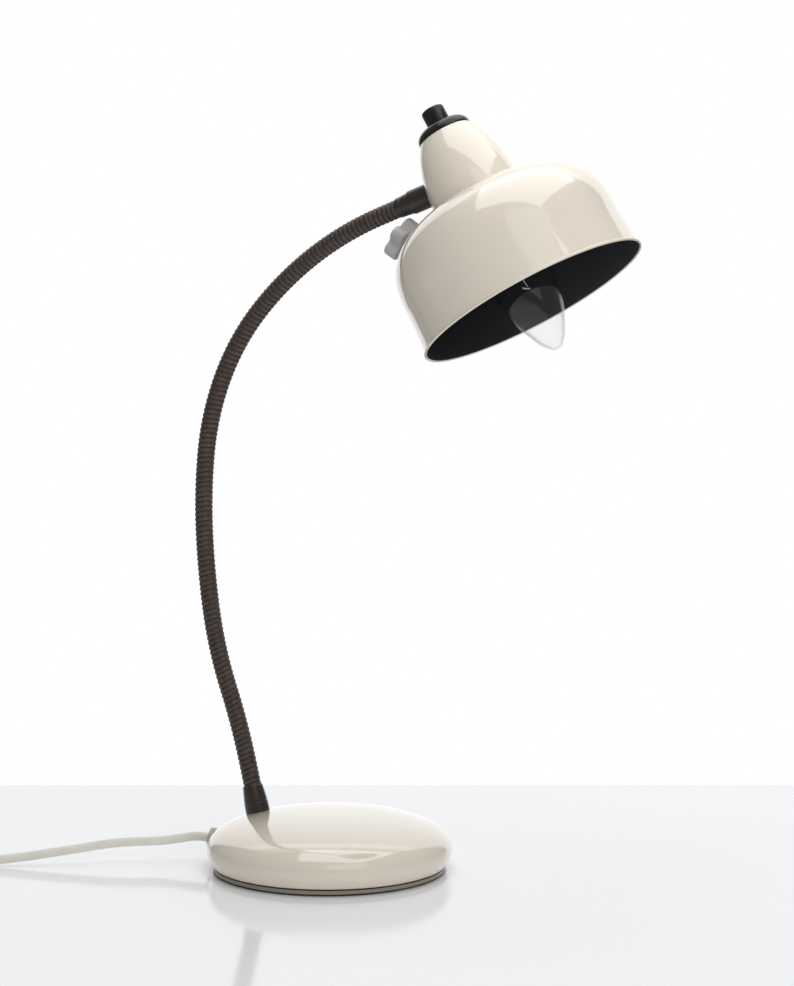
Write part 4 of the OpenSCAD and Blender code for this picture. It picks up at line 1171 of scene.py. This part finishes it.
@dataclass(frozen=True)
class HeadFerrule:
    """The two-step ferrule between the hose and the neck."""

    start: float = 12  # distance from the last hinge to the ferrule
    bore: float = 3.0  # radius of its bore
    tip: float = 5.5  # its radius at the hose
    step: float = 6.1  # its radius at the end of its taper
    body: float = 6.7  # the radius of its thick end
    ring: float = 3.6  # distance of the fine ring from the tip
    taper: float = 8.8  # length of the taper
    length: float = 23.5  # its length, to inside the neck's wall

    def build(self) -> None:
        """Makes the ferrule, with a fine ring on its taper."""
        arm = Gooseneck()
        place = upright(arm.joints()[-1], arm.direction(-1)).along(self.start * MM)
        bore, tip, body, fine = self.bore, self.tip, self.body, self.ring
        corners = [(bore, self.length, 0), (bore, 0, 0), (tip - 0.3, 0, 0.15), (tip, 0.4, 0.3)]
        corners += [(tip + 0.25, fine, 0.2), (tip + 0.05, fine + 0.2, 0.1)]
        corners += [(tip + 0.07, fine + 0.6, 0.1), (tip + 0.3, fine + 0.8, 0.2)]
        corners += [(self.step, self.taper, 0.1), (body - 0.2, self.taper, 0.1)]
        corners += [(body, self.taper + 0.3, 0.2), (body, self.length, 0)]
        sleeve = revolve(rounded(corners), place, 64)
        add_piece("head_sleeve", sleeve, Finishes.FERRULE, "head", "head_ferrule")


@dataclass(frozen=True)
class AimingKnob:
    """The star knob on the shade."""

    distance: ClassVar[float] = 46.0  # distance of its axis from the shade's axis, at its seat
    seat: ClassVar[float] = 60.8246  # height of its seat above the shade's rim
    lobes: int = 5
    lobe_distance: float = 8.3  # distance of a lobe's middle from the axis
    lobe_radius: float = 4.2
    core_margin: float = 0.8  # how far the core reaches past the lobes' middles
    hub: float = 6.5  # radius of its hub
    low: float = 5.0  # height of the star's lower face
    high: float = 13.0  # height of its outer face
    rounding: float = 1.4  # rounding of its outer edge
    dish: float = 0.6  # depth of the hollow in its outer face
    sides: int = 160  # points round it

    def star(self, angle: Array) -> Array:
        """The star's radius at an angle.

        It is the soft maximum, log(e^2a + e^2b) / 2, of the core's radius a and the lobe's b.

        Args:
            angle: The angles round its axis.

        Returns:
            The radius at each of them.
        """
        period = TURN / self.lobes
        off = (angle + period / 2) % period - period / 2
        inside = self.lobe_radius**2 - (self.lobe_distance * np.sin(off)) ** 2
        lobe = self.lobe_distance * np.cos(off) + np.sqrt(np.maximum(inside, 0))
        return np.log(np.exp(2 * (self.lobe_distance + self.core_margin)) + np.exp(2 * lobe)) / 2

    def build(self) -> None:
        """Makes the knob from rows that go from its hub over the star to its dished face.

        A row holds the share of the star's radius that it has, what is added to it and its height.
        """
        axis = unit(joint_vector("knob_turn", "axis"))
        axis = axis if axis @ head_place().z > 0 else -axis
        place = upright(joint_vector("knob_turn", "pos_m"), axis)
        angle = angles(self.sides)
        low, high, hub = self.low, self.high, self.hub
        turn = np.linspace(0, math.pi / 2, 6)
        edge = self.rounding * np.column_stack([np.cos(turn) - 1, np.sin(turn) - 1]) + [0, high]
        rows = [(0.0, 0.0, 0.3), (0.0, hub - 0.3, 0.3), (0.0, hub, 0.6), (0.0, hub, low)]
        rows += [(1.0, -0.9, low), (1.0, -0.25, low + 0.2), (1.0, 0.0, low + 0.8)]
        rows += [(1.0, inset, height) for inset, height in edge]
        rows += [(0.62, 0.0, high), (0.5, 0.0, high - 0.25)]
        rows += [(0.42, 0.0, high - self.dish), (0.0, 0.0, high - self.dish)]
        share, extra, height = np.array(rows).T[..., None]
        grid = turned(share * self.star(angle) + extra, height, angle)
        mesh = mesh_from_grid(place.world(grid * MM), close_rows=False)
        add_piece("star_knob", mesh, Finishes.KNOB, "knob", "aiming_knob")


@dataclass(frozen=True)
class Bulb:
    """The clear candle bulb: blown glass, wound filament and threaded cap."""

    radius: float = 17.5  # largest radius of the glass
    length: float = 98.1  # length from tip to contact
    drop: float = 28.7  # how far the tip stands out of the shade
    wall: float = 0.8  # thickness of the glass
    shares: tuple[tuple[float, float], ...] = (
        (0.0, 0.0), (0.1, 0.002), (0.19, 0.011), (0.41, 0.057), (0.57, 0.114), (0.72, 0.173),
        (0.83, 0.229), (0.91, 0.285), (0.96, 0.341), (0.995, 0.408), (1.0, 0.449),
        (0.985, 0.5), (0.93, 0.561), (0.82, 0.622), (0.68, 0.683), (0.54, 0.734), (0.385, 0.775),
    )  # fmt: skip  # shares of the radius and of the length for the glass's outline
    cap_radius: float = 6.95
    cap_low: float = 45.8  # height of the cap's open end
    thread_length: float = 18.5
    thread_pitch: float = 2.8  # distance between two turns of its thread
    thread_depth: float = 0.4  # half of the thread's height
    support_top: float = 18.5  # height where the filament's supports leave the glass mount
    filament_height: float = 9.0
    filament_half: float = 4.5  # half of the filament's length
    filament_turns: int = 34

    def build(self) -> None:
        """Makes the bulb's pieces."""
        head = head_place()
        knots = np.array(self.shares) * [self.radius, self.length] - [0, self.drop]
        outside = evenly(smooth_curve(knots, 8), 1.0)
        glass = revolve(sheet_outline(outside * MM, self.wall * MM), head, sharp=60)
        add_piece("candle_glass", glass, Finishes.GLASS, "bulb", "bulb_glass")
        add_piece("candle_cap", self.cap(head), Finishes.BRASS, "bulb", "bulb_cap")
        add_piece("candle_filament", self.filament(head), Finishes.NICKEL, "bulb", "bulb_filament")

    def cap(self, head: Place) -> Mesh:
        """Makes the cap: a rolled screw thread, an insulating cone and the contact.

        The thread's radius changes by a cosine along its length, whose phase follows the angle.

        Args:
            head: The head's frame.

        Returns:
            The closed mesh.
        """
        angle = angles(64)
        z = np.linspace(0, self.thread_length, 96)[:, None]
        fade = np.clip((z - 1) / 2, 0, 1) * np.clip((self.thread_length - 1 - z) / 2, 0, 1)
        wave = np.cos(TURN * (z + self.cap_low) / self.thread_pitch - angle) - 1
        thread = self.cap_radius + self.thread_depth * fade * wave
        start = np.array([[0.0, 0.0], [5.0, 0.0], [6.4, 0.0]])
        end = [[6.5, 19.4], [5.8, 20.0], [4.5, 21.8], [2.4, 21.8], [2.4, 23.3], [2.0, 23.6], [0.0, 23.6]]
        end = np.array(end)
        radius = np.concatenate([start[:, :1] + 0 * angle, thread, end[:, :1] + 0 * angle])
        height = np.concatenate([start[:, 1:], z, end[:, 1:]]) + self.cap_low
        return mesh_from_grid(head.world(turned(radius, height, angle) * MM), close_rows=False)

    def filament(self, head: Place) -> Mesh:
        """Makes the two support wires and the wound wire between their ends.

        Args:
            head: The head's frame.

        Returns:
            The joined mesh.
        """
        low, half = self.filament_height, self.filament_half
        wires = []
        for side in (-1, 1):
            knots = [[0, side, self.support_top], [0, side * 1.6, 15.0]]
            knots += [[0, side * half, low], [0.6, side * half, low]]
            line = evenly(smooth_curve(np.array(knots), 12), 0.4)
            wires.append(tube(head.world(line * MM), 0.2 * MM, 8))
        t = np.linspace(-1, 1, 340)
        phase = math.pi * self.filament_turns * t
        coil = np.column_stack([0.5 * np.cos(phase), half * t, low + 0.5 * np.sin(phase)])
        wires.append(tube(head.world(coil * MM), 0.12 * MM, 6))
        return joined(wires)


# Cord


@dataclass(frozen=True)
class Cord:
    """The free cord: it leaves the dome through its grommet, lies on the table and ends in a coil."""

    diameter: float = 5.2  # the cord's diameter
    exit_angle: float = 192  # direction of the exit, in degrees from +X
    exit_height: float = 14
    flange: float = 1.6  # thickness of the grommet's flange
    route: tuple[Triple, ...] = (
        (-75.2, -15.9, 14.9), (-81, -17.6, 14.6), (-87.5, -20.6, 13.4), (-95, -24.5, 12.4),
        (-103, -28.8, 12), (-111, -33.5, 11.9), (-119.5, -38.8, 11.4), (-127.5, -44.2, 10.4),
        (-135, -49.4, 9.2), (-143, -54.8, 8), (-151, -60, 6.8), (-159, -65, 5.6),
        (-167, -69.9, 4.6), (-175, -74.9, 3.7), (-183.5, -80.2, 3), (-192, -85.6, 2.7),
    )  # fmt: skip  # points from the exit to the coil
    coil_middle: tuple[float, float] = (-245, -70)
    entry: float = 303  # angle at which the cord enters the coil, in degrees
    leave: float = 180  # angle at which it leaves the coil
    turns: int = 8  # how many whole turns the coil has
    middle_radius: float = 30  # radius at the middle of its turns
    pitch: float = 5.7  # distance between two turns
    lift: float = 2.62  # height of its lower layer
    tail: float = 31  # length of straight cord between coil and plug
    plug_height: float = 6.85  # height of the plug's axis
    spacing: float = 1.5  # distance between two points of its line
    path_step: int = 3  # how many of these points lie between two that are kept in the path

    def exit_frame(self) -> tuple[Array, Array]:
        """Gives the point where the cord leaves the grommet, in metres, and its direction.

        Returns:
            The point and the direction, which is square to the dome's side.
        """
        base = Base()
        turn = math.radians(self.exit_angle)
        outwards = np.array([math.cos(turn), math.sin(turn), 0.0])
        up = np.array([0.0, 0.0, 1.0])
        slope = base.radius_at(self.exit_height - 0.5) - base.radius_at(self.exit_height + 0.5)
        out = unit(outwards + slope * up)
        face = base.radius_at(self.exit_height) * outwards + self.exit_height * up
        return (face + self.flange * out) * MM, out

    @staticmethod
    def coil_direction(angle: float) -> Array:
        """The direction of the cord where it passes an angle of the coil, in degrees."""
        turn = math.radians(angle)
        return np.array([math.sin(turn), -math.cos(turn), 0.0])

    def coil(self) -> Array:
        """The coil's points, in millimetres.

        The cord runs clockwise. The radius falls by a pitch a turn to the middle turn and grows
        again after it, and the cord climbs by a pitch over half a turn there.

        Returns:
            One row for each point.
        """
        whole = 360 * self.turns + self.entry - self.leave
        passed = np.linspace(0, whole, self.turns * 50 + 1)
        outer = self.middle_radius + whole / 1440 * self.pitch
        radius = outer - self.pitch * np.minimum(passed, whole - passed) / 360
        height = self.lift + self.pitch * np.clip((passed - whole / 2 + 90) / 180, 0, 1)
        angle = np.radians(self.entry - passed)
        flat = np.column_stack([radius * np.cos(angle), radius * np.sin(angle)]) + self.coil_middle
        return np.column_stack([flat, height])

    def plug_point(self) -> Array:
        """The point where the cord enters the plug, in metres."""
        end = self.coil()[-1] + self.tail * self.coil_direction(self.leave)
        return np.array([end[0], end[1], self.plug_height]) * MM

    def centre_line(self) -> Array:
        """The cord's middle from the grommet to the plug, in metres and evenly spaced.

        Returns:
            One row for each point.
        """
        face, _ = self.exit_frame()
        coil = self.coil()
        rise = np.array([0, 0, self.plug_height - coil[-1][2]])
        ahead = self.tail * self.coil_direction(self.leave)
        shares = ((0.0, 0.0), (0.25, 0.15), (0.5, 0.85), (0.75, 1.0), (1.0, 1.0))
        tail = np.array([coil[-1] + share * ahead + climb * rise for share, climb in shares])
        lead_in = coil[0] - 2 * self.diameter * self.coil_direction(self.entry)
        knots = np.array([face / MM, *self.route, lead_in, coil[0]])
        start = evenly(smooth_curve(knots, 10), self.spacing)
        end = evenly(smooth_curve(tail, 8), self.spacing)
        return evenly(np.concatenate([start[:-1], coil, end[1:]]), self.spacing) * MM

    def build(self) -> None:
        down = np.array([0.0, 0.0, -1.0])
        pieces = Plug().build(Place(self.plug_point(), down, self.coil_direction(self.leave)))
        line = self.centre_line()
        mesh = tube(line, self.diameter / 2 * MM, 16)
        piece = add_piece("supply_cord", mesh, Finishes.IVORY, "base", "cord_run", "cord_coil")
        path = line[:: self.path_step].tolist()
        if not np.allclose(path[-1], line[-1]):
            path.append(line[-1].tolist())
        tuple(self.exit_frame()[0])


@dataclass(frozen=True)
class Plug:
    """The flat two-pin plug with its ribbed strain relief."""

    relief: float = 28  # length of the strain relief
    thin: float = 3.4  # radius of its thin end
    thick: float = 5.0  # its radius at the plug
    bore: float = 2.4  # radius of its bore
    rings: int = 7  # how many rings it has
    groove: float = 0.7  # depth of the grooves between them
    length: float = 26  # length of the body
    width: float = 35.3  # width of the body
    thickness: float = 13.7  # its thickness
    corner: float = 2.5  # rounding of its ends
    waist: float = 1.1  # how far its sides are drawn in for the fingers

    def build(self, place: Place) -> list[bpy.types.Object]:
        """Makes the plug's relief and body.

        Args:
            place: The frame whose Z axis is the plug's axis and whose X axis points down.

        Returns:
            The pieces that go with the cord, the frame's pins among them.
        """
        relief = revolve(self.relief_outline(), place, 40)
        body = self.body(place.along(self.relief * MM))
        return [
            add_piece("plug_sleeve", relief, Finishes.IVORY, "base", "plug_relief"),
            add_piece("plug_shell", body, Finishes.IVORY, "base", "plug_body"),
            frame["nodes"]["plug_pins"],
        ]

    def relief_outline(self) -> Array:
        """The strain relief's outline: rings with grooves between them, wider towards the plug.

        Returns:
            One row of radius and height for each point, in metres.
        """
        corners = [(self.bore, self.relief, 0), (self.bore, 0, 0)]
        for k in range(self.rings):
            low = self.relief * k / self.rings
            radius = self.thin + (self.thick - self.thin) * k / (self.rings - 1)
            inner = radius - self.groove
            corners += [(radius, low, 0.3), (radius, low + 2.6, 0.3)]
            corners += [(inner, low + 2.9, 0.2), (inner, low + 3.8, 0.2)]
        corners.append((self.thick, self.relief, 0))
        return rounded(corners, 3)

    def body(self, place: Place) -> Mesh:
        """Makes the plug's body: a flat section with round ends, waisted for the fingers.

        A row holds how far the section is drawn in and its height, and the waist is a bell curve.

        Args:
            place: The body's frame.

        Returns:
            The closed mesh.
        """
        angle = angles(72)
        side = np.sign(np.round(np.sin(angle), 9))
        turn = np.linspace(0, math.pi / 2, 6)
        start = [(self.corner * (1 - math.sin(a)), self.corner * (1 - math.cos(a))) for a in turn]
        middle = [(0.0, z) for z in np.linspace(self.corner, self.length - 1, 14)[1:]]
        shut = self.thickness
        rows = [(shut, 0.0), *start, *middle]
        rows += [(0.3, self.length - 0.3), (0.8, self.length), (shut, self.length)]
        grids = []
        for shrink, z in rows:
            waist = self.waist * math.exp(-(((z - 0.45 * self.length) / 5.5) ** 2))
            half = max(self.thickness / 2 - shrink, 0)
            end = max((self.width - self.thickness) / 2 - waist, 0) if half else 0
            y = end * side + half * np.sin(angle)
            grids.append(np.column_stack([half * np.cos(angle), y, np.full_like(y, z)]))
        return mesh_from_grid(place.world(np.array(grids) * MM), close_rows=False)


# Assembly


def dress_frame() -> None:
    """Gives each node of the frame that stays in view the finish of its material slot."""
    finishes = {finish.value.slot: finish for finish in Finishes if finish is not Finishes.LINING}
    slots = {part["node"]: part["material_slot"] for part in frame["record"]["subparts"]}
    for name, node in frame["nodes"].items():
        material = finishes[slots[name]].value.material()
        if not node.material_slots:
            node.data.materials.append(material)
        for material_slot in node.material_slots:
            material_slot.material = material


def main() -> None:
    """Makes the whole scene, camera and cord first."""
    logging.basicConfig(level=logging.INFO, format="%(message)s")
    studio = Studio()
    studio.place_camera()
    for part in (Cord(), Base(), Gooseneck(), Shade(), Switch(), HeadFerrule(), AimingKnob(), Bulb()):
        part.build()
    dress_frame()
    studio.build()


if __name__ == "__main__":
    main()
